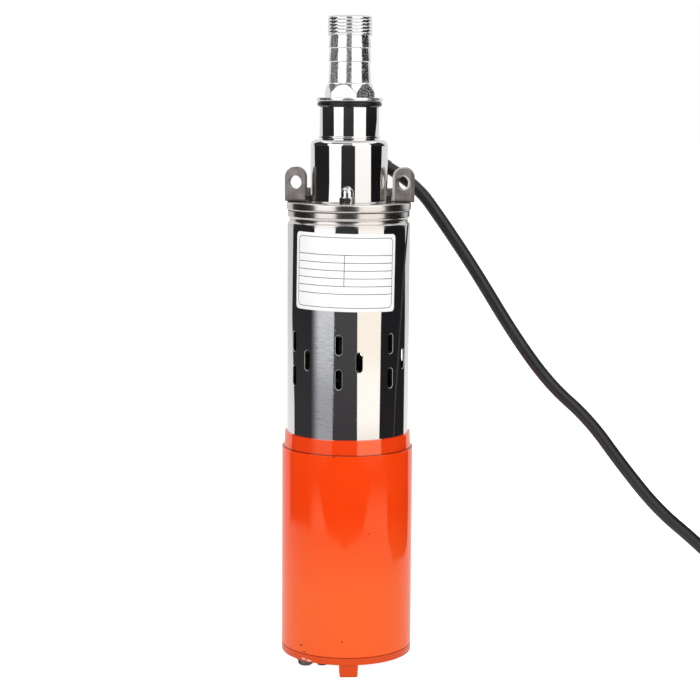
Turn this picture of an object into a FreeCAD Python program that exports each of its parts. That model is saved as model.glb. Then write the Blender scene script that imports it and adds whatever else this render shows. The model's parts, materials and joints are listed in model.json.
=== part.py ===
"""High-lift screw pump for wells: a sealed motor under an eccentric screw rotor and its stator."""

import FreeCAD, Part
import math
import os
from types import SimpleNamespace

import Sketcher
from FreeCAD import Placement, Rotation, Vector

# Driving sizes in millimetres and degrees, by piece. The pump stands on its feet at height zero.
SIZES = {
    # motor casing
    "casing_diameter": 80.0,
    "housing_wall": 3.2,
    "housing_length": 123.2,
    "seam_chamfer": 0.4,
    "foot_height": 8.0,
    "foot_width": 11.4,
    "foot_depth": 7.5,
    "foot_inset": 0.5,
    "foot_taper": 2.5,
    "foot_rounding": 1.4,
    "foot_turn": 2.5,
    "base_thickness": 4.3,
    "base_spigot_height": 7.2,
    "spigot_wall": 4.0,
    "spigot_fit": 0.1,
    "seal_cord": 2.4,
    "groove_height": 2.8,
    "groove_depth": 2.0,
    "ring_height": 8.9,
    "ring_step": 1.2,
    "ring_taper": 0.6,
    "ring_spigot_depth": 10.0,
    "locating_height": 4.0,
    "locating_wall": 1.5,
    # fasteners of the motor
    "bolt_inset": 5.2,
    "bolt_turn": -116.7,
    "bolt_diameter": 4.0,
    "bolt_head_diameter": 6.2,
    "bolt_head_height": 2.7,
    "bolt_clearance": 0.25,
    "bolt_grip": 8.0,
    "plug_inset": 7.0,
    "plug_turn": -138.0,
    "plug_thread": 6.0,
    "plug_head_diameter": 10.0,
    "plug_head_height": 3.6,
    "plug_washer": 1.2,
    "plug_length": 5.5,
    "plug_socket": 4.0,
    # motor inside
    "shaft_diameter": 12.0,
    "journal_diameter": 10.0,
    "lower_bearing_od": 30.0,
    "lower_bearing_width": 9.0,
    "upper_bearing_od": 32.0,
    "upper_bearing_width": 10.0,
    "bearing_boss_wall": 3.5,
    "lower_bearing_lift": 5.0,
    "bearing_race_share": 0.27,
    "ball_count": 7.0,
    "running_gap": 0.15,
    "shaft_fit": 0.02,
    "magnet_thickness": 6.8,
    "magnet_length": 60.0,
    "magnet_arc": 124.0,
    "magnet_turn": -25.0,
    "air_gap": 0.8,
    "core_length": 54.0,
    "core_rise": 31.0,
    "slot_count": 12.0,
    "slot_floor": 17.0,
    "tooth_tip": 1.8,
    "slot_width": 5.0,
    "slot_mouth": 2.0,
    "coil_play": 0.15,
    "end_turn_height": 8.5,
    "end_turn_inner": 14.0,
    "end_turn_rounding": 3.0,
    "commutator_diameter": 26.0,
    "commutator_length": 16.0,
    "commutator_rise": 2.8,
    "commutator_slit": 0.5,
    "commutator_slit_depth": 1.0,
    "holder_thickness": 3.0,
    "holder_bore": 38.8,
    "brush_width": 6.0,
    "brush_height": 8.0,
    "brush_length": 11.0,
    "brush_play": 0.3,
    "box_wall": 0.8,
    "box_start": 15.0,
    "box_gap": 2.2,
    "spring_wire": 0.7,
    "spring_diameter": 5.0,
    "spring_turns": 4.0,
    "spring_play": 0.05,
    # shaft seal and drive
    "seal_seat_height": 6.0,
    "seal_seat_radius": 11.0,
    "seal_ring_height": 6.5,
    "seal_ring_radius": 9.6,
    "seal_face_gap": 0.1,
    "slinger_radius": 20.0,
    "slinger_thickness": 2.0,
    "slinger_droop": 2.5,
    "yoke_radius": 9.2,
    "yoke_rise": 12.3,
    "yoke_grip": 7.5,
    "yoke_socket": 5.5,
    "pivot_rise": 25.8,
    "rod_length": 34.0,
    "rod_end_radius": 4.6,
    "rod_end_half": 4.5,
    "rod_neck_radius": 3.2,
    "pin_diameter": 4.0,
    "pin_play": 0.5,
    "boot_gap": 0.3,
    "boot_wall": 1.2,
    "boot_fold": 1.6,
    "boot_clear": 8.5,
    # screw rotor and stator
    "eccentricity": 2.5,
    "screw_inset": 1.25,
    "screw_pitch": 22.0,
    "screw_clearance": 0.25,
    "rotor_head_radius": 7.4,
    "rotor_head_rise": 5.5,
    "rotor_head_drop": 5.8,
    "rotor_tip": 2.5,
    "stator_rise": 66.8,
    "stator_length": 88.0,
    "sleeve_wall": 1.5,
    "seat_thickness": 5.0,
    "seat_gap": 0.4,
    "seat_ledge": 3.5,
    "seat_recess": 1.5,
    "seat_play": 0.1,
    # tie rods, nuts and lugs
    "rod_inset": 7.5,
    "rod_turn": -92.0,
    "tie_diameter": 5.0,
    "tie_play": 0.3,
    "tie_grip": 9.0,
    "tie_rise": 7.5,
    "spacer_wall": 1.5,
    "nut_flats": 8.0,
    "nut_height": 4.0,
    "nut_bevel": 0.9,
    "acorn_turn": 12.0,
    "dome_diameter": 7.5,
    "dome_height": 6.0,
    "dome_straight": 0.38,
    "thread_fit": 0.02,
    "lug_width": 12.5,
    "lug_thickness": 4.6,
    "lug_height": 20.8,
    "lug_eye": 8.2,
    "lug_eye_height": 11.6,
    "lug_foot_thickness": 3.5,
    "lug_bend": 2.0,
    "lug_foot_radius": 7.0,
    "lug_clearance": 0.25,
    "lug_inset": 5.2,
    "right_lug_shift": 0.9,
    "lug_depth": -3.0,
    "left_lug_turn": -16.0,
    "right_lug_turn": -27.0,
    # pump tube
    "tube_step": 3.0,
    "tube_wall": 1.0,
    "tube_length": 134.1,
    "tube_fit": 0.05,
    "neck_depth": 1.2,
    "rim_step": 0.2,
    "suction_slot_width": 4.0,
    "suction_slot_height": 12.0,
    "suction_columns": 7.0,
    "outer_slot_offset": 10.3,
    "middle_slot_height": 46.6,
    "pair_turn": -8.4,
    "single_turn": 10.6,
    # discharge head
    "gasket_thickness": 0.4,
    "flange_overhang": 0.5,
    "flange_thickness": 5.0,
    "flange_rounding": 1.3,
    "head_inset": 5.35,
    "head_wall": 3.9,
    "head_height": 37.0,
    "shoulder_rounding": 3.4,
    "deck_fillet": 0.8,
    "shoulder_width": 5.35,
    "socket_length": 19.6,
    "bead_height": 1.4,
    "bead_width": 0.7,
    "hub_wall": 3.0,
    "hub_drop": 9.0,
    "skirt_wall": 1.3,
    "skirt_drop": 6.0,
    "head_bore_play": 0.25,
    "stator_gasket": 2.0,
    "throat_wall": 2.8,
    "thread_diameter": 26.4,
    "socket_wall": 4.6,
    "nose_play": 0.3,
    "nose_wall": 3.9,
    # outlet fitting
    "outlet_seal_cord": 2.9,
    "outlet_seal_lift": 0.1,
    "fitting_flange_diameter": 39.4,
    "fitting_flange_height": 2.3,
    "hex_flats": 27.0,
    "hex_height": 8.7,
    "hex_turn": -16.0,
    "hex_shoulder": 0.3,
    "hex_crown": 6.2,
    "fitting_engagement": 15.0,
    "barb_ridge": 25.4,
    "barb_valley": 24.2,
    "barb_long": 12.0,
    "barb_short": 7.7,
    "thread_length": 12.1,
    "thread_lead": 1.2,
    # supply cable
    "cable_diameter": 7.6,
    "gland_inset": 7.1,
    "gland_thread": 8.8,
    "gland_flats": 9.8,
    "gland_hex_height": 2.7,
    "gland_drop": 4.2,
    "gland_nut_height": 3.0,
    "gland_nut_diameter": 10.4,
    "elbow_radius": 16.0,
    "elbow_turn": 120.0,
    "elbow_root": 5.2,
    "elbow_mouth": 4.3,
    "mouth_run": 19.65,
    "motor_seal_diameter": 10.8,
    "motor_seal_height": 4.0,
    "seal_lip": 0.95,
    "coil_mid_radius": 42.0,
    "coil_rows": 3.0,
    "coil_columns": 2.0,
    "coil_x": 352.0,
    "coil_y": 7.0,
    "lead_diameter": 2.6,
    "lead_bare_diameter": 1.6,
    "lead_spacing": 3.6,
    "lead_arc": 50.0,
    "lead_bare_arc": 10.0,
}

# Route of the free cable from its first bend down to the ground beside the coil: x, y, z.
CABLE_ROUTE = [
    (58.0, 26.0, 270.5),
    (79.0, 20.5, 239.5),
    (101.0, 15.0, 203.5),
    (124.0, 9.5, 172.0),
    (148.0, 4.0, 151.5),
    (169.0, -0.5, 123.0),
    (190.5, -5.5, 97.0),
    (214.0, -10.5, 78.0),
    (240.0, -16.0, 53.0),
    (266.0, -22.0, 29.0),
    (293.0, -28.0, 10.5),
    (321.0, -33.5, 3.8),
]

document = FreeCAD.newDocument("ScrewPump")
sheet = document.addObject("Spreadsheet::Sheet", "Sizes")
subparts = []


class Size:
    """A length or angle that knows its number and the sheet expression it comes from."""

    def __init__(self, number, text):
        self.number = number
        self.text = text

    def __add__(self, other):
        other = as_size(other)
        return Size(self.number + other.number, f"({self.text} + {other.text})")

    def __sub__(self, other):
        other = as_size(other)
        return Size(self.number - other.number, f"({self.text} - {other.text})")

    def __mul__(self, factor):
        factor = as_size(factor)
        return Size(self.number * factor.number, f"({self.text} * {factor.text})")

    def __truediv__(self, divisor):
        divisor = as_size(divisor)
        return Size(self.number / divisor.number, f"({self.text} / {divisor.text})")

    def __neg__(self):
        return Size(-self.number, f"(0 - {self.text})")


def as_size(value):
    return value if isinstance(value, Size) else Size(float(value), repr(float(value)))


def sine(turn):
    return Size(math.sin(math.radians(turn.number)), f"sin({turn.text} * 1 deg)")


def cosine(turn):
    return Size(math.cos(math.radians(turn.number)), f"cos({turn.text} * 1 deg)")


def polar(radius, turn):
    """The point at a radius and an angle, as two sizes."""
    turn = as_size(turn)
    return radius * cosine(turn), radius * sine(turn)


def root_of(value):
    return Size(math.sqrt(value.number), f"sqrt({value.text})")


def fill_sheet():
    """Writes every driving size to the sheet and returns them by name."""
    named = {}
    for row, (name, value) in enumerate(SIZES.items(), start=1):
        sheet.set(f"A{row}", name)
        sheet.set(f"B{row}", str(value))
        sheet.setAlias(f"B{row}", name)
        named[name] = Size(value, f"Sizes.{name}")
    document.recompute()
    return SimpleNamespace(**named)


s = fill_sheet()

# Radii and heights that several pieces share
casing_radius = s.casing_diameter / 2
housing_bore = casing_radius - s.housing_wall
spigot_radius = housing_bore - s.spigot_fit
z_base = s.foot_height
z_housing = z_base + s.base_thickness
z_spigot = z_housing + s.base_spigot_height
z_ring = z_housing + s.housing_length
z_tube = z_ring + s.ring_height
z_rim = z_tube + s.tube_length
z_flange = z_rim + s.gasket_thickness
z_deck = z_flange + s.flange_thickness
z_socket = z_deck + s.head_height
z_outlet = z_socket + s.socket_length
z_core = z_spigot + s.core_rise
z_yoke = z_tube + s.yoke_rise
z_pivot = z_tube + s.pivot_rise
rotor_pivot = z_pivot + s.rod_length
z_stator = z_tube + s.stator_rise
stator_end = z_stator + s.stator_length
seat_floor = z_stator - s.seat_thickness
tube_radius = casing_radius - s.tube_step
tube_bore = tube_radius - s.tube_wall
rod_radius = tube_bore - s.rod_inset
gland_radius = tube_bore - s.gland_inset
head_radius = rod_radius - s.head_inset
socket_radius = head_radius - s.shoulder_width
throat_radius = socket_radius - s.throat_wall
sleeve_radius = head_radius - s.head_wall - s.head_bore_play
sleeve_bore = sleeve_radius - s.sleeve_wall
screw_radius = sleeve_bore / 2 - s.screw_inset
nose_radius = socket_radius - s.socket_wall - s.nose_play
outlet_bore = nose_radius - s.nose_wall
bolt_radius = housing_bore - s.bolt_inset
plug_radius = casing_radius - s.plug_inset
core_radius = housing_bore - s.magnet_thickness - s.air_gap
slot_top = core_radius - s.tooth_tip
box_end = housing_bore - s.box_gap
rod_tilt = math.degrees(math.atan2(s.eccentricity.number, s.rod_length.number))
rear_rod_turns = [s.rod_turn + 120, s.rod_turn + 240]


# Sketch and feature helpers


def plane(owner, role):
    return next(item for item in owner.Origin.OriginFeatures if item.Role == role)


def new_body(name):
    body = document.addObject("PartDesign::Body", name.title().replace("_", ""))
    body.Label = name
    subparts.append(body)
    return body


def sketch_on(body, role, name, lift=None):
    sketch = body.newObject("Sketcher::SketchObject", name)
    sketch.AttachmentSupport = [(plane(body, role), "")]
    sketch.MapMode = "FlatFace"
    if lift is not None:
        sketch.setExpression("AttachmentOffset.Base.z", as_size(lift).text)
    return sketch


def bind(sketch, constraint, value):
    index = sketch.addConstraint(constraint)
    sketch.setExpression(f"Constraints[{index}]", value.text)


def hold_point(sketch, item, end, x, y):
    """Ties one point of a sketch to its two sizes, or to an axis where a size is zero."""
    for kind, value, axis in (("DistanceX", as_size(x), -2), ("DistanceY", as_size(y), -1)):
        if value.number == 0:
            sketch.addConstraint(Sketcher.Constraint("PointOnObject", item, end, axis))
        else:
            bind(sketch, Sketcher.Constraint(kind, -1, 1, item, end, value.number), value)


def outline(sketch, points):
    """A closed outline of straight lines through points given as pairs of sizes."""
    first = sketch.GeometryCount
    count = len(points)
    places = [Vector(as_size(x).number, as_size(y).number, 0) for x, y in points]
    for i in range(count):
        sketch.addGeometry(Part.LineSegment(places[i], places[(i + 1) % count]), False)
    for i in range(count):
        after = first + (i + 1) % count
        sketch.addConstraint(Sketcher.Constraint("Coincident", first + i, 2, after, 1))
    for i, (x, y) in enumerate(points):
        hold_point(sketch, first + i, 1, x, y)


def circle(sketch, x, y, diameter):
    centre = Vector(as_size(x).number, as_size(y).number, 0)
    item = sketch.addGeometry(Part.Circle(centre, Vector(0, 0, 1), diameter.number / 2), False)
    hold_point(sketch, item, 3, x, y)
    bind(sketch, Sketcher.Constraint("Diameter", item, diameter.number), diameter)


def upright_slot(sketch, y, width, height):
    """A slot with round ends on the sketch's vertical axis, centred at y."""
    reach = (height - width) / 2
    radius = width.number / 2
    top = Vector(0, y.number + reach.number, 0)
    low = Vector(0, y.number - reach.number, 0)
    side = Vector(radius, 0, 0)
    normal = Vector(0, 0, 1)
    arcs = [
        Part.ArcOfCircle(Part.Circle(top, normal, radius), 0, math.pi),
        Part.ArcOfCircle(Part.Circle(low, normal, radius), math.pi, 2 * math.pi),
    ]
    lines = [Part.LineSegment(top - side, low - side), Part.LineSegment(low + side, top + side)]
    first = sketch.GeometryCount
    for item in (arcs[0], lines[0], arcs[1], lines[1]):
        sketch.addGeometry(item, False)
    for i in range(4):
        after = first + (i + 1) % 4
        sketch.addConstraint(Sketcher.Constraint("Tangent", first + i, 2, after, 1))
    bind(sketch, Sketcher.Constraint("Radius", first, radius), width / 2)
    sketch.addConstraint(Sketcher.Constraint("Equal", first, first + 2))
    hold_point(sketch, first, 3, 0, y + reach)
    hold_point(sketch, first + 2, 3, 0, y - reach)


def revolve(body, points, angle=None):
    """Turns an outline of radius and height pairs about the upright axis."""
    sketch = sketch_on(body, "XZ_Plane", "Profile")
    outline(sketch, points)
    feature = body.newObject("PartDesign::Revolution", "Revolution")
    feature.Profile = sketch
    feature.ReferenceAxis = (sketch, ["V_Axis"])
    feature.Angle = 360
    if angle is not None:
        feature.Midplane = True
        feature.setExpression("Angle", angle.text)
    return feature


def pad(body, sketch, length, downward=False, taper=None):
    feature = body.newObject("PartDesign::Pad", "Pad")
    feature.Profile = sketch
    feature.Reversed = downward
    feature.setExpression("Length", as_size(length).text)
    if taper is not None:
        feature.setExpression("TaperAngle", (-taper).text)
    return feature


def pocket(body, sketch, length):
    """Cuts to a depth along the sketch's normal, and stops if nothing was cut."""
    document.recompute()
    before = body.Shape.Volume
    feature = body.newObject("PartDesign::Pocket", "Pocket")
    feature.Profile = sketch
    feature.Reversed = True
    feature.setExpression("Length", as_size(length).text)
    document.recompute()
    if not body.Shape.Volume < before:
        raise ValueError(f"{body.Label}: {feature.Name} cuts nothing")
    return feature


def repeat(body, features, sketch, count):
    """Repeats features evenly about the sketch's own normal axis."""
    pattern = body.newObject("PartDesign::PolarPattern", "PolarPattern")
    pattern.Originals = features
    pattern.Axis = (sketch, ["N_Axis"])
    pattern.Angle = 360
    pattern.setExpression("Occurrences", as_size(count).text)
    body.Tip = pattern
    return pattern


def repeat_upright(body, features, count):
    """Repeats features evenly about the body's upright axis."""
    pattern = body.newObject("PartDesign::PolarPattern", "PolarPattern")
    pattern.Originals = features
    pattern.Axis = (plane(body, "Z_Axis"), [""])
    pattern.Angle = 360
    pattern.setExpression("Occurrences", as_size(count).text)
    body.Tip = pattern
    return pattern


def rings(body, places):
    """Names of the body's round edges at the given radius and height pairs."""
    found = []
    for number, edge in enumerate(body.Tip.Shape.Edges, start=1):
        if not isinstance(edge.Curve, Part.Circle):
            continue
        for radius, height in places:
            near = abs(edge.Curve.Radius - as_size(radius).number) < 0.01
            level = abs(edge.Curve.Center.z - as_size(height).number) < 0.01
            if near and level:
                found.append(f"Edge{number}")
    return found


def dress(body, kind, edges, value):
    """Adds a fillet or a chamfer to named edges."""
    base = body.Tip
    feature = body.newObject(f"PartDesign::{kind}", kind)
    feature.Base = (base, edges)
    feature.setExpression("Radius" if kind == "Fillet" else "Size", value.text)
    return feature


def round_rings(body, places, value, kind="Fillet"):
    document.recompute()
    edges = rings(body, places)
    if len(edges) < len(places):
        raise ValueError(f"{body.Label}: a round edge to dress was not found")
    return dress(body, kind, edges, value)


def place(item, x=0, y=0, z=0, turn=None):
    """Moves an object to sizes x, y and z, turned about the upright axis."""
    x, y, z = as_size(x), as_size(y), as_size(z)
    angle = 0 if turn is None else as_size(turn).number
    item.Placement = Placement(
        Vector(x.number, y.number, z.number), Rotation(Vector(0, 0, 1), angle)
    )
    for axis, value in (("x", x), ("y", y), ("z", z)):
        if value.number != 0:
            item.setExpression(f"Placement.Base.{axis}", value.text)
    if turn is not None:
        item.setExpression("Placement.Rotation.Angle", as_size(turn).text)
    return item


def turned(name, points, z=0):
    """A piece that is one turned outline, standing at height z."""
    body = new_body(name)
    revolve(body, points)
    return place(body, z=z)


def ring(name, inner, outer, height, z):
    """A plain ring with square edges."""
    points = [(inner, 0), (outer, 0), (outer, height), (inner, height)]
    return turned(name, points, z)


def cylinder(name, radius, height, x, y, z):
    item = document.addObject("Part::Cylinder", name)
    item.setExpression("Radius", as_size(radius).text)
    item.setExpression("Height", as_size(height).text)
    return place(item, x, y, z)


def torus(name, cord, mid_radius, z):
    """A round rubber seal ring about the pump's axis."""
    item = document.addObject("Part::Torus", name)
    item.Label = name
    item.setExpression("Radius1", mid_radius.text)
    item.setExpression("Radius2", (cord / 2).text)
    place(item, z=z)
    subparts.append(item)


def group(name, items):
    item = document.addObject("Part::Compound", name)
    item.Label = name
    item.Links = items
    subparts.append(item)


def cut(name, base, tool):
    item = document.addObject("Part::Cut", name)
    item.Base = base
    item.Tool = tool
    return item


def fuse(name, shapes):
    item = document.addObject("Part::MultiFuse", name)
    item.Shapes = shapes
    item.Refine = True
    return item


def shaped(name, shape, placement=None):
    """A sub-part whose form is made with Part's own functions."""
    item = document.addObject("Part::Feature", name)
    item.Label = name
    item.Shape = shape
    item.Placement = placement or Placement()
    subparts.append(item)


def hexagon(flats, turn):
    """Six corners of a hexagon whose first flat faces the given angle."""
    corner = flats / 2 / cosine(as_size(30))
    return [polar(corner, as_size(turn) + 30 + 60 * i) for i in range(6)]


# Motor casing


def bottom_cover():
    body = new_body("bottom_cover")
    place(body, z=z_base, turn=s.foot_turn)
    floor = s.base_thickness
    top = floor + s.base_spigot_height
    inner = spigot_radius - s.spigot_wall
    seat = s.lower_bearing_od / 2 + s.shaft_fit
    boss = seat + s.bearing_boss_wall
    boss_top = s.lower_bearing_lift + s.lower_bearing_width + 0.5
    groove_low = floor + s.groove_depth
    groove = spigot_radius - s.seal_cord
    revolve(
        body,
        [
            (0, 0),
            (casing_radius, 0),
            (casing_radius, floor),
            (spigot_radius, floor),
            (spigot_radius, groove_low),
            (groove, groove_low),
            (groove, groove_low + s.groove_height),
            (spigot_radius, groove_low + s.groove_height),
            (spigot_radius, top),
            (inner, top),
            (inner, floor),
            (boss, floor),
            (boss, boss_top),
            (seat, boss_top),
            (seat, s.lower_bearing_lift),
            (seat - 3, s.lower_bearing_lift),
            (seat - 3, s.lower_bearing_lift - 1.5),
            (0, s.lower_bearing_lift - 1.5),
        ],
    )
    holes = sketch_on(body, "XY_Plane", "BoltHoles")
    for turn in (s.bolt_turn, s.bolt_turn + 180):
        x, y = polar(bolt_radius, turn - s.foot_turn)
        circle(holes, x, y, s.bolt_diameter + s.bolt_clearance * 2)
    pocket(body, holes, top)
    plug_hole = sketch_on(body, "XY_Plane", "PlugHole")
    x, y = polar(plug_radius, s.plug_turn - s.foot_turn)
    circle(plug_hole, x, y, s.plug_thread + s.thread_fit * 2)
    pocket(body, plug_hole, s.plug_length + 0.5)
    foot = sketch_on(body, "XY_Plane", "Foot")
    out = -(casing_radius - s.foot_inset)
    half = s.foot_width / 2
    back = out + s.foot_depth
    outline(foot, [(-half, out), (half, out), (half, back), (-half, back)])
    first = pad(body, foot, s.foot_height, downward=True, taper=s.foot_taper)
    repeat(body, [first], foot, 3)
    document.recompute()
    soles = [
        f"Edge{number}"
        for number, edge in enumerate(body.Tip.Shape.Edges, start=1)
        if all(abs(vertex.Z + s.foot_height.number) < 0.01 for vertex in edge.Vertexes)
    ]
    dress(body, "Fillet", soles, s.foot_rounding)


def screws_of_motor():
    """Two long bolts that clamp the motor, heads under the bottom cover."""
    z_end = z_ring + s.bolt_grip
    bolts = []
    for i, turn in enumerate((s.bolt_turn, s.bolt_turn + 180)):
        x, y = polar(bolt_radius, turn)
        head_z = z_base - s.bolt_head_height
        head = cylinder(f"BoltHead{i}", s.bolt_head_diameter / 2, s.bolt_head_height, x, y, head_z)
        shank = cylinder(f"BoltShank{i}", s.bolt_diameter / 2, z_end - head_z, x, y, head_z)
        bolts.append(fuse(f"Bolt{i}", [head, shank]))
    group("through_bolts", bolts)


def oil_plug():
    """Filling screw of the oil chamber with its sealing washer and hexagon socket."""
    body = new_body("oil_plug")
    head = s.plug_head_diameter / 2
    thread = s.plug_thread / 2
    drop = s.plug_head_height + s.plug_washer
    revolve(
        body,
        [
            (0, -drop),
            (head - 1.6, -drop),
            (head - 0.5, -drop + 0.9),
            (head - 0.2, -s.plug_washer - 0.2),
            (head - 0.2, -s.plug_washer),
            (head + 0.4, -s.plug_washer),
            (head + 0.4, 0),
            (thread, 0),
            (thread, s.plug_length),
            (0, s.plug_length),
        ],
    )
    socket = sketch_on(body, "XY_Plane", "Socket", lift=-drop)
    outline(socket, hexagon(s.plug_socket, 0))
    pocket(body, socket, 2)
    x, y = polar(plug_radius, s.plug_turn)
    place(body, x, y, z_base)


def motor_housing():
    body = turned(
        "motor_housing",
        [
            (housing_bore, 0),
            (casing_radius, 0),
            (casing_radius, s.housing_length),
            (housing_bore, s.housing_length),
        ],
        z_housing,
    )
    round_rings(body, [(casing_radius, 0), (casing_radius, s.housing_length)], s.seam_chamfer, "Chamfer")


def top_cover():
    """The painted ring over the housing: upper bearing seat below, seal seat and spigot above."""
    body = new_body("top_cover")
    place(body, z=z_ring)
    top = s.ring_height
    seat = s.upper_bearing_od / 2 + s.shaft_fit
    boss = seat + s.bearing_boss_wall
    bearing_top = top - s.seal_seat_height - 2.2
    bearing_low = bearing_top - s.upper_bearing_width
    low = -s.ring_spigot_depth
    inner = spigot_radius - s.spigot_wall - 2
    groove_top = -s.groove_depth
    groove = spigot_radius - s.seal_cord
    locating = tube_bore - s.tube_fit
    seal_seat = s.seal_seat_radius
    shaft_hole = s.shaft_diameter / 2 + 0.6
    revolve(
        body,
        [
            (shaft_hole, bearing_top),
            (seat, bearing_top),
            (seat, bearing_low),
            (boss, bearing_low),
            (boss, -2),
            (inner, -2),
            (inner, low),
            (spigot_radius, low),
            (spigot_radius, groove_top - s.groove_height),
            (groove, groove_top - s.groove_height),
            (groove, groove_top),
            (spigot_radius, groove_top),
            (spigot_radius, 0),
            (casing_radius - s.ring_step, 0),
            (casing_radius - s.ring_step - s.ring_taper, top),
            (locating, top),
            (locating, top + s.locating_height),
            (locating - s.locating_wall, top + s.locating_height),
            (locating - s.locating_wall, top),
            (seal_seat, top),
            (seal_seat, top - s.seal_seat_height),
            (shaft_hole, top - s.seal_seat_height),
        ],
    )
    rods = sketch_on(body, "XY_Plane", "RodHoles", lift=top - s.tie_grip)
    for step in range(3):
        x, y = polar(rod_radius, s.rod_turn + 120 * step)
        circle(rods, x, y, s.tie_diameter + s.thread_fit * 2)
    pocket(body, rods, s.tie_grip + 1)
    bolts = sketch_on(body, "XY_Plane", "BoltHoles", lift=low)
    for turn in (s.bolt_turn, s.bolt_turn + 180):
        x, y = polar(bolt_radius, turn)
        circle(bolts, x, y, s.bolt_diameter + s.thread_fit * 2)
    pocket(body, bolts, s.bolt_grip + s.ring_spigot_depth + 0.2)
    lead = sketch_on(body, "XY_Plane", "LeadHole", lift=-2)
    circle(lead, 0, gland_radius, s.motor_seal_diameter - s.seal_lip * 2)
    pocket(body, lead, top + 3)


# Motor inside


def bearing(name, bore, outside, width, z):
    """A ball bearing as its two rings, its balls and their cage."""
    span = outside - bore
    inner_race = bore / 2 + span / 2 * s.bearing_race_share
    outer_race = outside / 2 - span / 2 * s.bearing_race_share
    pitch = (inner_race + outer_race) / 2
    ball = (outer_race - inner_race) / 2 - s.running_gap / 2
    ring(f"{name}_inner_ring", bore / 2 + s.shaft_fit, inner_race, width, z)
    ring(f"{name}_outer_ring", outer_race, outside / 2, width, z)
    middle = z + width / 2
    count = int(s.ball_count.number)
    balls = []
    for i in range(count):
        x, y = polar(pitch, as_size(360 / count * i))
        item = document.addObject("Part::Sphere", f"{name}_ball_{i}")
        item.setExpression("Radius", ball.text)
        balls.append(place(item, x, y, middle))
    group(f"{name}_balls", balls)
    half = ball / 4
    web = [cylinder(f"{name}_cage_{n}", r, half * 2, 0, 0, middle - half) for n, r in
           (("outer", pitch + half), ("inner", pitch - half))]
    pockets = []
    for i in range(count):
        x, y = polar(pitch, as_size(360 / count * i))
        item = document.addObject("Part::Sphere", f"{name}_pocket_{i}")
        item.setExpression("Radius", (ball + s.running_gap / 2).text)
        pockets.append(place(item, x, y, middle))
    cage = cut(f"{name}_cage", cut(f"{name}_web", web[0], web[1]), fuse(f"{name}_gaps", pockets))
    cage.Label = f"{name}_cage"
    subparts.append(cage)


def magnets():
    inner = housing_bore - s.magnet_thickness
    for name, turn in (("magnet_right", s.magnet_turn), ("magnet_left", s.magnet_turn + 180)):
        body = new_body(name)
        points = [
            (inner, 0),
            (housing_bore, 0),
            (housing_bore, s.magnet_length),
            (inner, s.magnet_length),
        ]
        revolve(body, points, s.magnet_arc)
        core_middle = z_core + s.core_length / 2
        place(body, z=core_middle - s.magnet_length / 2, turn=turn)


def armature_core():
    """Stack of slotted laminations on the shaft."""
    body = new_body("armature_core")
    bore = s.shaft_diameter / 2 + s.shaft_fit
    length = s.core_length
    revolve(body, [(bore, 0), (core_radius, 0), (core_radius, length), (bore, length)])
    slot = sketch_on(body, "XY_Plane", "WindingSlot")
    half, mouth, past = s.slot_width / 2, s.slot_mouth / 2, core_radius + 1
    outline(
        slot,
        [
            (s.slot_floor, -half),
            (slot_top, -half),
            (slot_top, -mouth),
            (past, -mouth),
            (past, mouth),
            (slot_top, mouth),
            (slot_top, half),
            (s.slot_floor, half),
        ],
    )
    first = pocket(body, slot, length)
    repeat(body, [first], slot, s.slot_count)
    place(body, z=z_core)


def windings():
    """Copper coils: a rounded end turn over each face of the core and bars through its slots."""
    body = new_body("armature_windings")
    gap, high = s.coil_play, s.end_turn_height
    inner, outer = s.end_turn_inner, slot_top - s.coil_play
    low = -gap - high
    revolve(body, [(inner, low), (outer, low), (outer, -gap), (inner, -gap)])
    bar = sketch_on(body, "XY_Plane", "Bar", lift=-gap)
    half = s.slot_width / 2 - gap
    outline(
        bar,
        [
            (s.slot_floor + gap, -half),
            (outer, -half),
            (outer, half),
            (s.slot_floor + gap, half),
        ],
    )
    first = pad(body, bar, s.core_length + gap * 2)
    repeat(body, [first], bar, s.slot_count)
    crown = sketch_on(body, "XY_Plane", "Crown", lift=s.core_length + gap)
    circle(crown, 0, 0, outer * 2)
    circle(crown, 0, 0, inner * 2)
    pad(body, crown, high)
    top = s.core_length + gap + high
    edges = [(inner, low), (outer, low), (outer, top), (inner, top)]
    round_rings(body, edges, s.end_turn_rounding)
    place(body, z=z_core)


def commutator():
    body = new_body("commutator")
    radius = s.commutator_diameter / 2
    bore = s.shaft_diameter / 2 + s.shaft_fit
    length = s.commutator_length
    revolve(
        body,
        [
            (bore, 0),
            (radius, 0),
            (radius, length - 2),
            (radius + 1.5, length - 2),
            (radius + 1.5, length),
            (bore, length),
        ],
    )
    slit = sketch_on(body, "XY_Plane", "Slit")
    half = s.commutator_slit / 2
    low, past = radius - s.commutator_slit_depth, radius + 2
    outline(slit, [(low, -half), (past, -half), (past, half), (low, half)])
    first = pocket(body, slit, length)
    repeat(body, [first], slit, s.slot_count)
    place(body, z=z_spigot + s.commutator_rise)


def motor_shaft():
    """Stepped shaft from the lower journal up into the drive yoke."""
    journal = s.journal_diameter / 2
    body_radius = s.shaft_diameter / 2
    low = z_base + s.lower_bearing_lift
    step = low + s.lower_bearing_width
    end = z_yoke + s.yoke_grip
    body = turned(
        "motor_shaft",
        [
            (0, 0),
            (journal, 0),
            (journal, step - low),
            (body_radius, step - low),
            (body_radius, end - low),
            (0, end - low),
        ],
        low,
    )
    round_rings(body, [(journal, 0), (body_radius, end - low)], as_size(0.6), "Chamfer")


box_middle = z_spigot + s.holder_thickness + s.box_wall + (s.brush_height + s.brush_play) / 2


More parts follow.
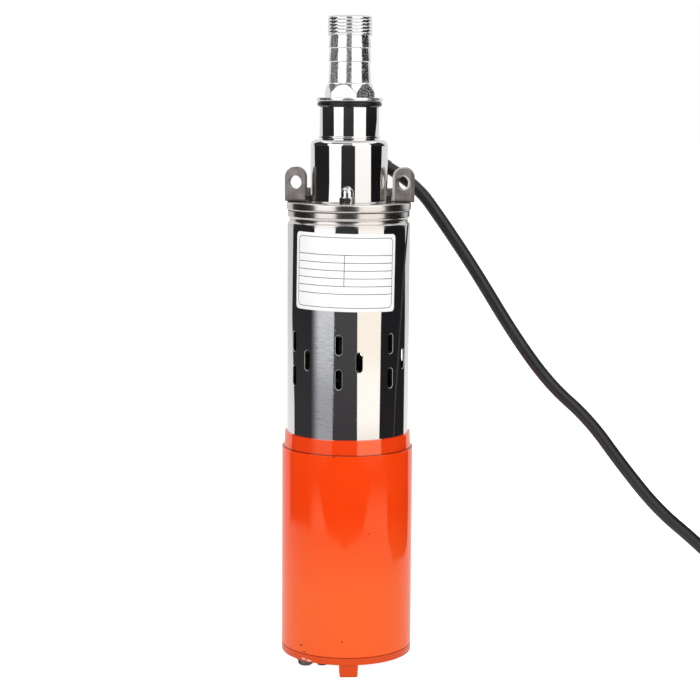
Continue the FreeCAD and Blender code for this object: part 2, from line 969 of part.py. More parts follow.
def brush_holder():
    """Insulating ring on the bottom cover's spigot, with two boxes that guide the brushes."""
    body = new_body("brush_holder")
    thick = s.holder_thickness
    outer, bore = spigot_radius - 0.1, s.holder_bore / 2
    revolve(body, [(bore, 0), (outer, 0), (outer, thick), (bore, thick)])
    holes = sketch_on(body, "XY_Plane", "BoltHoles")
    for turn in (s.bolt_turn, s.bolt_turn + 180):
        x, y = polar(bolt_radius, turn - s.magnet_turn)
        circle(holes, x, y, s.bolt_diameter + s.bolt_clearance * 2)
    pocket(body, holes, thick)
    cavity = (s.brush_width + s.brush_play) / 2
    half = cavity + s.box_wall
    tall = s.brush_height + s.brush_play + s.box_wall * 2
    box = sketch_on(body, "XY_Plane", "Box", lift=thick)
    outline(
        box,
        [(s.box_start, -half), (box_end, -half), (box_end, half), (s.box_start, half)],
    )
    first = pad(body, box, tall)
    repeat(body, [first], box, 2)
    channel = sketch_on(body, "XY_Plane", "Channel", lift=thick + s.box_wall)
    ends = box_end - s.box_wall
    outline(
        channel,
        [(s.box_start - 1, -cavity), (ends, -cavity), (ends, cavity), (s.box_start - 1, cavity)],
    )
    second = pocket(body, channel, s.brush_height + s.brush_play)
    repeat(body, [second], channel, 2)
    place(body, z=z_spigot, turn=s.magnet_turn)


def brushes():
    """Carbon blocks hollowed to the commutator, each with a coil spring behind it."""
    radius = s.commutator_diameter / 2 + s.seal_face_gap / 2
    for side, turn in (("right", s.magnet_turn), ("left", s.magnet_turn + 180)):
        body = new_body(f"brush_{side}")
        half = s.brush_width / 2
        start = radius - 1
        block = sketch_on(body, "XY_Plane", "Block")
        end = radius + s.brush_length
        outline(block, [(start, -half), (end, -half), (end, half), (start, half)])
        pad(body, block, s.brush_height)
        face = sketch_on(body, "XY_Plane", "Face")
        circle(face, 0, 0, radius * 2)
        pocket(body, face, s.brush_height)
        place(body, z=box_middle - s.brush_height / 2, turn=turn)
        back = end + s.spring_play
        room = box_end - s.box_wall - s.spring_play - back
        upright = Rotation(Vector(0, 1, 0), 90)
        about = Rotation(Vector(0, 0, 1), turn.number)
        low = about.multVec(Vector((back + s.spring_wire / 2).number, 0, 0))
        low += Vector(0, 0, box_middle.number)
        shaped(f"brush_spring_{side}", coil_spring(room.number), Placement(low, about.multiply(upright)))


def coil_spring(room):
    """A coil of twelve-sided wire that fills a height, standing on its lower turn's middle."""
    wire = s.spring_wire.number / 2
    mid = s.spring_diameter.number / 2 - wire
    height = room - wire * 2
    pitch = height / s.spring_turns.number
    helix = Part.makeHelix(pitch, height, mid)
    slope = math.atan2(pitch, 2 * math.pi * mid)
    side = Vector(1, 0, 0)
    rise = Vector(0, -math.sin(slope), math.cos(slope))
    corners = []
    for i in range(12):
        angle = math.radians(30 * i + 15)
        corners.append(Vector(mid, 0, 0) + (side * math.cos(angle) + rise * math.sin(angle)) * wire)
    section = Part.makePolygon(corners + [corners[0]])
    return Part.Wire(helix.Edges).makePipeShell([section], True, True)


# Shaft seal and drive


def shaft_seal():
    top = z_ring + s.ring_height
    bore = s.shaft_diameter / 2
    seat_bore = bore + 1
    seat_radius = s.seal_seat_radius - s.shaft_fit
    ring("seal_seat", seat_bore, seat_radius, s.seal_seat_height, top - s.seal_seat_height)
    ring_z = top + s.seal_face_gap
    high = s.seal_ring_height
    turned(
        "seal_ring",
        [
            (bore + s.shaft_fit, 0),
            (s.seal_ring_radius, 0),
            (s.seal_ring_radius, 2),
            (s.seal_ring_radius - 1.4, 2.6),
            (s.seal_ring_radius - 1.4, high - 1.8),
            (s.seal_ring_radius - 0.4, high - 1.2),
            (s.seal_ring_radius - 0.4, high),
            (bore + s.shaft_fit, high),
        ],
        ring_z,
    )
    thick, droop, out = s.slinger_thickness, s.slinger_droop, s.slinger_radius
    hub = bore + 3.5
    turned(
        "sand_slinger",
        [
            (bore + s.shaft_fit, 0),
            (hub, 0),
            (out, -droop),
            (out, thick - droop),
            (hub, thick),
            (hub, thick + 1.5),
            (bore + s.shaft_fit, thick + 1.5),
        ],
        ring_z + high + s.seal_face_gap,
    )


def cross_pin(name, owner_radius, x, z):
    item = document.addObject("Part::Cylinder", name)
    item.Label = name
    item.setExpression("Radius", (s.pin_diameter / 2).text)
    item.setExpression("Height", (owner_radius * 2 - 0.6).text)
    item.Placement = Placement(Vector(0, 0, 0), Rotation(Vector(1, 0, 0), -90))
    item.setExpression("Placement.Base.x", as_size(x).text)
    item.setExpression("Placement.Base.y", (-(owner_radius - 0.3)).text)
    item.setExpression("Placement.Base.z", z.text)
    subparts.append(item)


def drive_yoke():
    """Coupling on the shaft's end, with an open socket for the rod and holes for its pin."""
    body = new_body("drive_yoke")
    shaft = s.shaft_diameter / 2 + s.shaft_fit
    out, grip = s.yoke_radius, s.yoke_grip
    pivot = z_pivot - z_yoke
    top = pivot + s.rod_end_half + 0.5
    web = pivot - s.rod_end_half - 0.6
    revolve(
        body,
        [
            (shaft, 0),
            (out - 1, 0),
            (out, 1),
            (out, top - 1),
            (out - 1, top),
            (s.yoke_socket + 0.6, top),
            (s.yoke_socket, top - 0.6),
            (s.yoke_socket, web),
            (0, web),
            (0, grip + 0.05),
            (shaft, grip + 0.05),
        ],
    )
    bore = sketch_on(body, "XZ_Plane", "PinHole", lift=-out)
    circle(bore, 0, pivot, s.pin_diameter + s.thread_fit * 2)
    pocket(body, bore, out * 2)
    place(body, z=z_yoke)
    cross_pin("yoke_pin", out, 0, z_pivot)


def connecting_rod():
    """Rod with a loose pin hole across each round end, leaning out to the rotor's axis."""
    body = new_body("connecting_rod")
    end, half, neck = s.rod_end_radius, s.rod_end_half, s.rod_neck_radius
    span = root_of(s.rod_length * s.rod_length + s.eccentricity * s.eccentricity)
    revolve(
        body,
        [
            (0, -half),
            (end - 1, -half),
            (end, -half + 1),
            (end, half - 1),
            (neck, half + 1),
            (neck, span - half - 1),
            (end, span - half + 1),
            (end, span + half - 1),
            (end - 1, span + half),
            (0, span + half),
        ],
    )
    holes = sketch_on(body, "XZ_Plane", "PinHoles", lift=-end)
    for height in (as_size(0), span):
        circle(holes, 0, height, s.pin_diameter + s.pin_play * 2)
    pocket(body, holes, end * 2)
    body.Placement = leaning()


def leaning():
    """The rod's place at rest: from the shaft's axis to the rotor's axis."""
    return Placement(Vector(0, 0, z_pivot.number), Rotation(Vector(0, 1, 0), rod_tilt))


def rod_boot():
    """Pleated rubber sleeve round the rod's neck."""
    body = new_body("rod_boot")
    inner = s.rod_neck_radius + s.boot_gap
    root = inner + s.boot_wall
    crest = root + s.boot_fold
    low = s.boot_clear
    high = s.rod_length - s.boot_clear
    pleats = 4
    step = (high - low) / pleats
    outer = []
    for i in range(pleats):
        outer.append((root, low + step * i))
        outer.append((crest, low + step * (i + 0.5)))
    revolve(body, [(inner, low)] + outer + [(root, high), (inner, high)])
    body.Placement = leaning()


# Screw rotor and stator


def screw_rotor():
    """Steel screw whose flat section is a circle set off from the axis, on a head with a socket."""
    offset, radius = s.eccentricity.number, screw_radius.number
    foot = rotor_pivot.number + s.rotor_head_rise.number
    length = stator_end.number + s.rotor_tip.number - foot
    helix = Part.makeHelix(s.screw_pitch.number, length, offset)
    sweep = Part.BRepOffsetAPI.MakePipeShell(Part.Wire(helix.Edges))
    sweep.setBiNormalMode(Vector(0, 0, 1))
    sweep.add(Part.Wire(Part.makeCircle(radius, Vector(offset, 0, 0))))
    sweep.build()
    sweep.makeSolid()
    screw = sweep.shape()
    screw.translate(Vector(0, 0, s.rotor_head_rise.number))
    drop = s.rotor_head_drop.number
    head_radius = s.rotor_head_radius.number
    pin = s.pin_diameter.number / 2 + s.thread_fit.number
    head = Part.makeCylinder(head_radius, drop + s.rotor_head_rise.number, Vector(0, 0, -drop))
    head = head.makeChamfer(0.6, [head.Edges[2]])
    socket_depth = drop + s.rod_end_half.number + 0.6
    socket = Part.makeCylinder(s.yoke_socket.number, socket_depth, Vector(0, 0, -drop))
    bore = Part.makeCylinder(pin, head_radius * 2, Vector(0, -head_radius, 0), Vector(0, 1, 0))
    solid = head.fuse(screw).cut(socket).cut(bore).removeSplitter()
    shaped("screw_rotor", solid, Placement(Vector(offset, 0, rotor_pivot.number), Rotation()))
    cross_pin("rotor_pin", s.rotor_head_radius, s.eccentricity, rotor_pivot)


def twisted_slot(radius, travel, pitch, length):
    """A slot with round ends that turns once in a pitch as it rises."""
    left, right = Vector(-travel, 0, 0), Vector(travel, 0, 0)
    up, out = Vector(0, radius, 0), Vector(radius, 0, 0)
    edges = [
        Part.LineSegment(left - up, right - up).toShape(),
        Part.Arc(right - up, right + out, right + up).toShape(),
        Part.LineSegment(right + up, left + up).toShape(),
        Part.Arc(left + up, left - out, left - up).toShape(),
    ]
    spine = Part.Wire(Part.makeLine(Vector(0, 0, 0), Vector(0, 0, length)))
    guide = Part.Wire(Part.makeHelix(pitch, length, radius + travel).Edges)
    sweep = Part.BRepOffsetAPI.MakePipeShell(spine)
    sweep.setAuxiliarySpine(guide, True, 0)
    sweep.add(Part.Wire(edges))
    sweep.build()
    sweep.makeSolid()
    return sweep.shape()


def stator():
    """Rubber with a double-helix cavity of twice the rotor's pitch, bonded in a steel sleeve."""
    length = s.stator_length.number
    foot = rotor_pivot.number + s.rotor_head_rise.number
    lift = z_stator.number - foot
    radius = screw_radius.number + s.screw_clearance.number
    pitch = s.screw_pitch.number * 2
    cavity = twisted_slot(radius, s.eccentricity.number * 2, pitch, length + lift + 1)
    cavity.translate(Vector(0, 0, -lift))
    rubber = Part.makeCylinder(sleeve_bore.number, length).cut(cavity)
    shaped("stator_rubber", rubber, Placement(Vector(0, 0, z_stator.number), Rotation()))
    ring("stator_sleeve", sleeve_bore, sleeve_radius, s.stator_length, z_stator)


def stator_seat():
    """Plate on the spacers that carries the stator's foot; the rotor's head turns in its mouth."""
    body = new_body("stator_seat")
    out = tube_bore - s.seat_gap
    mouth = sleeve_bore - s.seat_ledge
    recess = sleeve_radius + s.seat_play
    thick = s.seat_thickness
    revolve(
        body,
        [
            (mouth, 0),
            (out, 0),
            (out, thick),
            (recess + 2, thick),
            (recess + 2, thick + s.seat_recess),
            (recess, thick + s.seat_recess),
            (recess, thick),
            (mouth, thick),
        ],
    )
    holes = sketch_on(body, "XY_Plane", "RodHoles")
    for step in range(3):
        x, y = polar(rod_radius, s.rod_turn + 120 * step)
        circle(holes, x, y, s.tie_diameter + s.tie_play * 2)
    circle(holes, 0, gland_radius, s.cable_diameter + s.tie_play * 2)
    pocket(body, holes, thick)
    place(body, z=seat_floor)


def spacers():
    """Tubes on the tie rods between the motor's top cover and the stator seat."""
    inner = s.tie_diameter / 2 + s.tie_play
    outer = inner + s.spacer_wall
    height = seat_floor - z_tube
    tubes = []
    for step in range(3):
        x, y = polar(rod_radius, s.rod_turn + 120 * step)
        wall = cylinder(f"SpacerWall{step}", outer, height, x, y, z_tube)
        bore = cylinder(f"SpacerBore{step}", inner, height, x, y, z_tube)
        tubes.append(cut(f"Spacer{step}", wall, bore))
    group("rod_spacers", tubes)


# Tie rods, nuts and lugs


def tie_rods():
    low = z_tube - s.tie_grip
    rods = []
    for step in range(3):
        x, y = polar(rod_radius, s.rod_turn + 120 * step)
        rods.append(cylinder(f"TieRod{step}", s.tie_diameter / 2, z_deck + s.tie_rise - low, x, y, low))
    group("tie_rods", rods)


def acorn_nut():
    """Domed nut on the front tie rod."""
    body = new_body("acorn_nut")
    corner = s.nut_flats / 2 / cosine(as_size(30))
    dome = s.dome_diameter / 2
    high = s.nut_height
    straight = s.dome_height * s.dome_straight
    round_part = s.dome_height - straight
    flats = sketch_on(body, "XY_Plane", "Flats")
    outline(flats, hexagon(s.nut_flats, s.acorn_turn))
    pad(body, flats, high)
    sketch = sketch_on(body, "XZ_Plane", "Dome")
    points = [(0, high - 1)]
    points.append((dome, high - 1))
    for share in range(0, 80, 15):
        angle = math.radians(share)
        points.append((dome * math.cos(angle), high + straight + round_part * math.sin(angle)))
    points.append((0, high + s.dome_height))
    outline(sketch, points)
    crown = body.newObject("PartDesign::Revolution", "Crown")
    crown.Profile = sketch
    crown.ReferenceAxis = (sketch, ["V_Axis"])
    crown.Angle = 360
    bevel = sketch_on(body, "XZ_Plane", "Bevel")
    outline(bevel, [(corner - s.nut_bevel, high), (corner + 1, high), (corner + 1, high - 1.1)])
    groove = body.newObject("PartDesign::Groove", "Bevels")
    groove.Profile = bevel
    groove.ReferenceAxis = (bevel, ["V_Axis"])
    groove.Angle = 360
    bore = sketch_on(body, "XY_Plane", "Bore")
    circle(bore, 0, 0, s.tie_diameter + s.thread_fit * 2)
    pocket(body, bore, s.tie_rise + 0.2)
    x, y = polar(rod_radius, s.rod_turn)
    place(body, x, y, z_deck)


def lug_nuts():
    """Plain nuts that clamp the feet of the lugs on the two rear rods."""
    nuts = []
    for i, turn in enumerate(rear_rod_turns):
        x, y = polar(rod_radius, turn)
        z = z_deck + s.lug_foot_thickness
        prism = document.addObject("Part::Prism", f"LugNutFlats{i}")
        prism.Polygon = 6
        prism.setExpression("Circumradius", (s.nut_flats / 2 / cosine(as_size(30))).text)
        prism.setExpression("Height", s.nut_height.text)
        place(prism, x, y, z)
        bore = cylinder(f"LugNutBore{i}", s.tie_diameter / 2 + s.thread_fit, s.nut_height, x, y, z)
        nuts.append(cut(f"LugNut{i}", prism, bore))
    group("lug_nuts", nuts)


def lug(name, reach, turn, rod_turn):
    """Bent plate with a lifting eye; its foot runs back to a tie rod's nut."""
    about = Rotation(Vector(0, 0, 1), turn.number)
    ear = Vector(reach.number, s.lug_depth.number, 0)
    half, thick = s.lug_width.number / 2, s.lug_thickness.number
    tall = s.lug_height.number
    eye_height = s.lug_eye_height.number
    # ear in its own frame: front face at y = -thick / 2
    front = -thick / 2
    spring_line = tall - half
    corners = [Vector(-half, front, 0), Vector(half, front, 0), Vector(half, front, spring_line)]
    crown = Part.Arc(corners[2], Vector(0, front, tall), Vector(-half, front, spring_line))
    edges = [
        Part.makeLine(corners[0], corners[1]),
        Part.makeLine(corners[1], corners[2]),
        crown.toShape(),
        Part.makeLine(Vector(-half, front, spring_line), corners[0]),
    ]
    plate = Part.Face(Part.Wire(edges)).extrude(Vector(0, thick, 0))
    # foot: a flat plate from under the ear to a round end about the rod
    rod_x, rod_y = polar(rod_radius, rod_turn)
    rod = about.inverted().multVec(Vector(rod_x.number, rod_y.number, 0) - ear)
    rounding = s.lug_foot_radius.number
    step = s.lug_foot_thickness.number
    pad_end = Part.makeCylinder(rounding, step, rod)
    web = tangent_web(Vector(-half, front, 0), Vector(half, front, 0), thick, rod, rounding, step)
    solid = plate.fuse(web).fuse(pad_end).removeSplitter()
    bend = [
        edge
        for edge in solid.Edges
        if abs(edge.BoundBox.ZMax) < 0.01 and abs(edge.BoundBox.YMax - front) < 0.01
    ]
    solid = solid.makeFillet(s.lug_bend.number, bend)
    eye = Part.makeCylinder(
        s.lug_eye.number / 2, thick * 3, Vector(0, -thick * 1.5, eye_height), Vector(0, 1, 0)
    )
    below = rod - Vector(0, 0, step)
    hole = Part.makeCylinder(s.tie_diameter.number / 2 + s.tie_play.number, step * 3, below)
    room = Part.makeCylinder(s.nut_flats.number * 0.75, tall, rod + Vector(0, 0, step))
    head_room = (head_radius + s.deck_fillet + s.lug_clearance).number
    head_axis = about.inverted().multVec(-ear)
    head = Part.makeCylinder(head_room, tall * 2, head_axis - Vector(0, 0, tall / 2))
    solid = solid.cut(eye).cut(hole).cut(room).cut(head)
    shaped(name, solid, Placement(ear + Vector(0, 0, z_deck.number), about))


def tangent_web(left, right, thick, centre, reach, step):
    """Flat plate that joins the ear's foot line to the circle about the rod."""
    back = Vector(0, thick, 0)
    corners = [left, right, right + back, left + back]
    ring_points = [
        centre + Vector(reach * math.cos(angle), reach * math.sin(angle), 0)
        for angle in (math.radians(degrees) for degrees in range(0, 360, 10))
    ]
    hull = convex(corners + ring_points)
    wire = Part.makePolygon(hull + [hull[0]])
    return Part.Face(wire).extrude(Vector(0, 0, step))


def convex(points):
    """The outline of the points' convex hull, by their turning direction."""
    ordered = sorted(points, key=lambda p: (round(p.x, 6), round(p.y, 6)))

    def half_hull(sequence):
        kept = []
        for point in sequence:
            while len(kept) > 1 and cross(kept[-2], kept[-1], point) <= 1e-9:
                kept.pop()
            kept.append(point)
        return kept[:-1]

    return half_hull(ordered) + half_hull(ordered[::-1])


def cross(a, b, c):
    return (b.x - a.x) * (c.y - a.y) - (b.y - a.y) * (c.x - a.x)


# Pump tube and discharge head


def pump_tube():
    """Sheet tube with suction slots and a rolled groove under its rim."""
    body = new_body("pump_tube")
    out, wall, high = tube_radius, s.tube_wall, s.tube_length
    neck = out - s.neck_depth
    levels = [0, high - 7.3, high - 5.9, high - 4.4, high - 3, high]
    radii = [out, out, neck, neck, out - s.rim_step, out - s.rim_step]
    outer = list(zip(radii, levels))
    inner = [(radius - wall, level) for radius, level in reversed(outer)]
    revolve(body, outer + inner)
    slots = []
    for name, heights, turn in (
        ("PairSlots", (-s.outer_slot_offset, s.outer_slot_offset), s.pair_turn),
        ("SingleSlots", (as_size(0),), s.single_turn),
    ):
        sketch = sketch_on(body, "XZ_Plane", name)
        sketch.AttachmentOffset = Placement(Vector(0, 0, 0), Rotation(Vector(0, 1, 0), turn.number))
        for height in heights:
            upright_slot(
                sketch, s.middle_slot_height + height, s.suction_slot_width, s.suction_slot_height
            )
        slots.append(pocket(body, sketch, out + 2))
    repeat_upright(body, slots, s.suction_columns)
    place(body, z=z_tube)


def discharge_head():
    """Stainless head: flanged deck, cylinder with a rounded shoulder, bead and threaded socket."""
    body = new_body("discharge_head")
    flange = tube_radius + s.flange_overhang
    socket = socket_radius
    deck = s.flange_thickness
    shoulder = deck + s.head_height
    top = shoulder + s.socket_length
    bore = sleeve_radius + s.head_bore_play
    ledge = stator_end + s.stator_gasket - z_flange
    thread = socket_radius - s.socket_wall + s.thread_fit
    hub = bore + s.hub_wall
    skirt = tube_bore - s.neck_depth - s.tube_fit - 0.1
    revolve(
        body,
        [
            (bore, -s.hub_drop),
            (hub, -s.hub_drop),
            (hub, 0),
            (skirt - s.skirt_wall, 0),
            (skirt - s.skirt_wall, -s.skirt_drop),
            (skirt, -s.skirt_drop),
            (skirt, 0),
            (flange, 0),
            (flange, deck),
            (head_radius, deck),
            (head_radius, shoulder),
            (socket, shoulder),
            (socket, top),
            (thread, top),
            (thread, shoulder + 1),
            (throat_radius, shoulder - 4),
            (throat_radius, ledge),
            (bore, ledge),
        ],
    )
    round_rings(body, [(head_radius, shoulder)], s.shoulder_rounding)
    round_rings(body, [(flange, 0), (flange, deck)], s.flange_rounding)
    round_rings(body, [(head_radius, deck)], s.deck_fillet)
    bead = sketch_on(body, "XZ_Plane", "Bead")
    low, rise, wide = shoulder + 0.8, s.bead_height, s.bead_width
    outline(
        bead,
        [
            (socket - 1, low),
            (socket + wide * 0.7, low),
            (socket + wide, low + rise * 0.3),
            (socket + wide, low + rise * 0.7),
            (socket + wide * 0.7, low + rise),
            (socket - 1, low + rise),
        ],
    )
    collar = body.newObject("PartDesign::Revolution", "BeadRing")
    collar.Profile = bead
    collar.ReferenceAxis = (bead, ["V_Axis"])
    collar.Angle = 360
    holes = sketch_on(body, "XY_Plane", "RodHoles")
    for step in range(3):
        x, y = polar(rod_radius, s.rod_turn + 120 * step)
        circle(holes, x, y, s.tie_diameter + s.tie_play * 2)
    circle(holes, 0, gland_radius, s.gland_thread + s.thread_fit * 2)
    pocket(body, holes, deck)
    place(body, z=z_flange)


def outlet_fitting():
    """Hose tail: threaded nose into the head, flange, hexagon, three barbs and a threaded end."""
    body = new_body("outlet_fitting")
    seal = s.outlet_seal_cord + s.outlet_seal_lift
    nose = -(seal + s.fitting_engagement)
    flange = s.fitting_flange_diameter / 2
    rise = s.fitting_flange_height
    hex_top = rise + s.hex_height
    ridge, valley = s.barb_ridge / 2, s.barb_valley / 2
    crest = s.thread_diameter / 2
    first = hex_top + s.barb_long
    second = first + s.barb_short
    third = second + s.barb_short
    end = third + s.thread_length
    revolve(
        body,
        [
            (outlet_bore, nose),
            (nose_radius - 1, nose),
            (nose_radius, nose + 1),
            (nose_radius, 0),
            (flange - 0.4, 0),
            (flange, 0.5),
            (flange, rise - 0.5),
            (flange - 0.4, rise),
            (ridge, rise),
            (ridge, hex_top),
            (valley, first),
            (ridge, first),
            (valley, second),
            (ridge, second),
            (valley, third),
            (crest - 0.6, third),
            (crest, third + 0.6),
            (crest, end - s.thread_lead),
            (crest - s.thread_lead, end),
            (outlet_bore, end),
        ],
    )
    flats = sketch_on(body, "XY_Plane", "Flats", lift=rise)
    outline(flats, hexagon(s.hex_flats, s.hex_turn - 90))
    circle(flats, 0, 0, ridge * 2 - 1)
    pad(body, flats, s.hex_height)
    corner = s.hex_flats / 2 / cosine(as_size(30))
    bevel = sketch_on(body, "XZ_Plane", "Crown")
    low = hex_top - s.hex_crown
    brow = s.hex_flats / 2 - s.hex_shoulder
    outline(
        bevel,
        [
            (brow, hex_top),
            (corner + 1, hex_top),
            (corner + 1, low - 2.5),
            (corner, low),
        ],
    )
    groove = body.newObject("PartDesign::Groove", "Bevels")
    groove.Profile = bevel
    groove.ReferenceAxis = (bevel, ["V_Axis"])
    groove.Angle = 360
    place(body, z=z_outlet + seal)


# Supply cable


def gland():
    """Cable gland in the deck behind the head: screwed body and compression nut."""
    body = new_body("gland_body")
    thread = s.gland_thread / 2
    bore = s.cable_diameter / 2 + 0.1
    flats = sketch_on(body, "XY_Plane", "Flats")
    outline(flats, hexagon(s.gland_flats, 90))
    pad(body, flats, s.gland_hex_height)
    stem = sketch_on(body, "XY_Plane", "Stem")
    circle(stem, 0, 0, thread * 2)
    pad(body, stem, s.gland_drop, downward=True)
    hole = sketch_on(body, "XY_Plane", "Bore", lift=-s.gland_drop)
    circle(hole, 0, 0, bore * 2)
    pocket(body, hole, s.gland_drop + s.gland_hex_height)
    place(body, 0, gland_radius, z_deck)
    nut = new_body("gland_nut")
    out, high = s.gland_nut_diameter / 2, s.gland_nut_height
    revolve(nut, [(bore, 0), (out, 0), (out, high - 0.8), (out - 0.8, high), (bore, high)])
    place(nut, 0, gland_radius, z_deck + s.gland_hex_height)


boot_base = z_deck + s.gland_hex_height + s.gland_nut_height


def elbow_point(degrees):
    """A point on the boot's curved axis and the direction in which it runs there."""
    angle = math.radians(degrees)
    bend = s.elbow_radius.number
    x = bend * (1 - math.cos(angle))
    z = boot_base.number + bend * math.sin(angle)
    return Vector(x, gland_radius.number, z), Vector(math.sin(angle), 0, math.cos(angle))


def cable_boot():
    """Rubber elbow that bends the cable over to the right and thins to its mouth."""
    steps = 6
    sections = []
    for i in range(steps + 1):
        share = i / steps
        point, along = elbow_point(s.elbow_turn.number * share)
        radius = s.elbow_root.number * (1 - share) + s.elbow_mouth.number * share
        sections.append(Part.Wire(Part.makeCircle(radius, point, along)))
    shaped("cable_boot", Part.makeLoft(sections, True, False))


def smooth_path(points):
    """Straight runs joined by tangent arcs, each as large as its two runs allow."""
    edges = []
    radii = []
    start = points[0]
    for before, corner, after in zip(points, points[1:], points[2:]):
        back, ahead = corner - before, after - corner
        reach = 0.45 * min(back.Length, ahead.Length)
        half_turn = back.getAngle(ahead) / 2
        radii.append(reach / math.tan(half_turn))
        back.normalize()
        ahead.normalize()
        enter, leave = corner - back * reach, corner + ahead * reach
        inward = ahead - back
        inward.normalize()
        middle = corner + inward * (radii[-1] / math.cos(half_turn) - radii[-1])
        edges.append(Part.makeLine(start, enter))
        edges.append(Part.Arc(enter, middle, leave).toShape())
        start = leave
    edges.append(Part.makeLine(start, points[-1]))
    return Part.Wire(edges), radii


def tube_along(points, radius):
    """A round solid along a smooth path, checked against its section times its length."""
    path, radii = smooth_path(points)
    along = points[1] - points[0]
    section = Part.Wire(Part.makeCircle(radius, points[0], along))
    solid = path.makePipeShell([section], True, False)
    expected = math.pi * radius**2 * path.Length
    if abs(solid.Volume - expected) > 0.01 * expected:
        raise ValueError("the cable's volume is wrong")
    return solid, path.Length, radii


def free_cable():
    """The loose cable down to the ground, and the coil that holds the rest of its length."""
    radius = s.cable_diameter.number / 2
    mouth, heading = elbow_point(s.elbow_turn.number)
    bend = mouth + heading * s.mouth_run.number
    coil_outer = s.coil_mid_radius.number + radius * (s.coil_columns.number - 1)
    joint = Vector(s.coil_x.number - 3, s.coil_y.number - coil_outer, radius)
    route = [mouth, bend] + [Vector(*point) for point in CABLE_ROUTE] + [joint]
    solid, length, radii = tube_along(route, radius)
    print("cable: free length", round(length, 1), "radii", [round(value, 1) for value in radii])
    half_width = s.cable_diameter * s.coil_columns / 2
    high = s.cable_diameter * s.coil_rows
    body = new_body("cable_coil")
    inner, outer = s.coil_mid_radius - half_width, s.coil_mid_radius + half_width
    revolve(body, [(inner, 0), (outer, 0), (outer, high), (inner, high)])
    corners = [(inner, 0), (outer, 0), (outer, high), (inner, high)]
    round_rings(body, corners, s.cable_diameter / 2 - 0.2)
    place(body, s.coil_x, s.coil_y, 0)
    document.recompute()
    outside = solid.cut(body.Shape).Solids
    shaped("supply_cable", max(outside, key=lambda piece: piece.Volume))
    turns = 2 * math.pi * s.coil_mid_radius.number * s.coil_columns.number * s.coil_rows.number
    print("cable: about", round(turns), "in the coil")


def leads():
    """The cable's two cores with bare ends, lying on the coil."""
    high = s.cable_diameter.number * s.coil_rows.number + s.lead_diameter.number / 2 + 0.05
    centre = Vector(s.coil_x.number, s.coil_y.number, high)
    for name, side in (("lead_red", -0.5), ("lead_black", 0.5)):
        mid = s.coil_mid_radius.number + side * s.lead_spacing.number
        arc = s.lead_arc.number
        wrap = bent_bar(centre, mid, 0, arc, s.lead_diameter.number / 2)
        end = arc + s.lead_bare_arc.number
        bare = bent_bar(centre, mid, arc - 1, end, s.lead_bare_diameter.number / 2)
        shaped(name, wrap.fuse(bare).removeSplitter())


def bent_bar(centre, mid, start, end, radius):
    """A round bar bent to part of a level circle."""
    low, high = math.radians(start), math.radians(end)
    ends = [
        centre + Vector(mid * math.cos(angle), mid * math.sin(angle), 0)
        for angle in (low, (low + high) / 2, high)
    ]
    path = Part.Wire(Part.Arc(*ends).toShape())
    along = Vector(-math.sin(low), math.cos(low), 0)
    return path.makePipeShell([Part.Wire(Part.makeCircle(radius, ends[0], along))], True, False)


def inner_lead():
    """The cable inside the tube, from the gland to the rubber seal in the motor's top cover."""
    radius = s.cable_diameter / 2
    low = z_tube - 2
    high = boot_base - low
    item = cylinder("inner_cable", radius, high, 0, gland_radius, low)
    item.Label = "inner_cable"
    subparts.append(item)
    body = new_body("motor_cable_seal")
    bore = radius + s.shaft_fit
    out = s.motor_seal_diameter / 2
    neck = out - s.seal_lip - s.shaft_fit
    rise = s.motor_seal_height
    revolve(
        body,
        [
            (bore, -3),
            (neck, -3),
            (neck, 0.05),
            (out, 0.05),
            (out, 1.5),
            (bore + 0.6, rise),
            (bore, rise),
        ],
    )
    place(body, 0, gland_radius, z_tube)


def seals():
    middle = spigot_radius - s.seal_cord / 2
    depth = s.groove_depth + s.groove_height / 2
    torus("lower_o_ring", s.seal_cord, middle, z_housing + depth)
    torus("upper_o_ring", s.seal_cord, middle, z_ring - depth)
    seal = s.outlet_seal_cord
    torus("outlet_o_ring", seal, socket_radius + 0.1, z_outlet + seal / 2 + s.outlet_seal_lift / 2)
    skirt = tube_bore - s.neck_depth
    ring("head_gasket", skirt, tube_radius - 0.3, s.gasket_thickness, z_rim)
    ring("stator_gasket", throat_radius, sleeve_radius, s.stator_gasket, stator_end)


def build():
    bottom_cover()
    screws_of_motor()
    oil_plug()
    motor_housing()
    top_cover()
    low = z_base + s.lower_bearing_lift
    bearing("lower_bearing", s.journal_diameter, s.lower_bearing_od, s.lower_bearing_width, low)
    high = z_tube - s.seal_seat_height - 2.2 - s.upper_bearing_width
    bearing("upper_bearing", s.shaft_diameter, s.upper_bearing_od, s.upper_bearing_width, high)
    magnets()
    armature_core()
    windings()
    commutator()
    motor_shaft()
    brush_holder()
    brushes()
    shaft_seal()
    drive_yoke()
    connecting_rod()
    rod_boot()
    screw_rotor()
    stator()
    stator_seat()
    spacers()
    tie_rods()
    acorn_nut()
    lug_nuts()
    left_rod, right_rod = rear_rod_turns[1], rear_rod_turns[0]
    reach = tube_radius - s.lug_inset
    lug("lug_left", -reach, s.left_lug_turn, left_rod)
    lug("lug_right", reach + s.right_lug_shift, s.right_lug_turn, right_rod)
    pump_tube()
    discharge_head()
    outlet_fitting()
    gland()
    cable_boot()
    free_cable()
    leads()
    inner_lead()
    seals()
    document.recompute()


def check():
    """Stops if any object failed or any sub-part has no sound shape."""
    for item in document.Objects:
        if any(word in item.State for word in ("Invalid", "Error")):
            raise ValueError(f"{item.Label} failed: {item.State}")
    for item in subparts:
        if item.Shape.isNull() or not item.Shape.isValid() or not item.Shape.Solids:
            raise ValueError(f"{item.Label} has no sound shape")


def write():
    os.makedirs("parts", exist_ok=True)
    for item in subparts:
        item.Shape.exportStep(os.path.join("parts", f"{item.Label}.step"))


build()
check()
write()
print("sub-parts:", len(subparts))
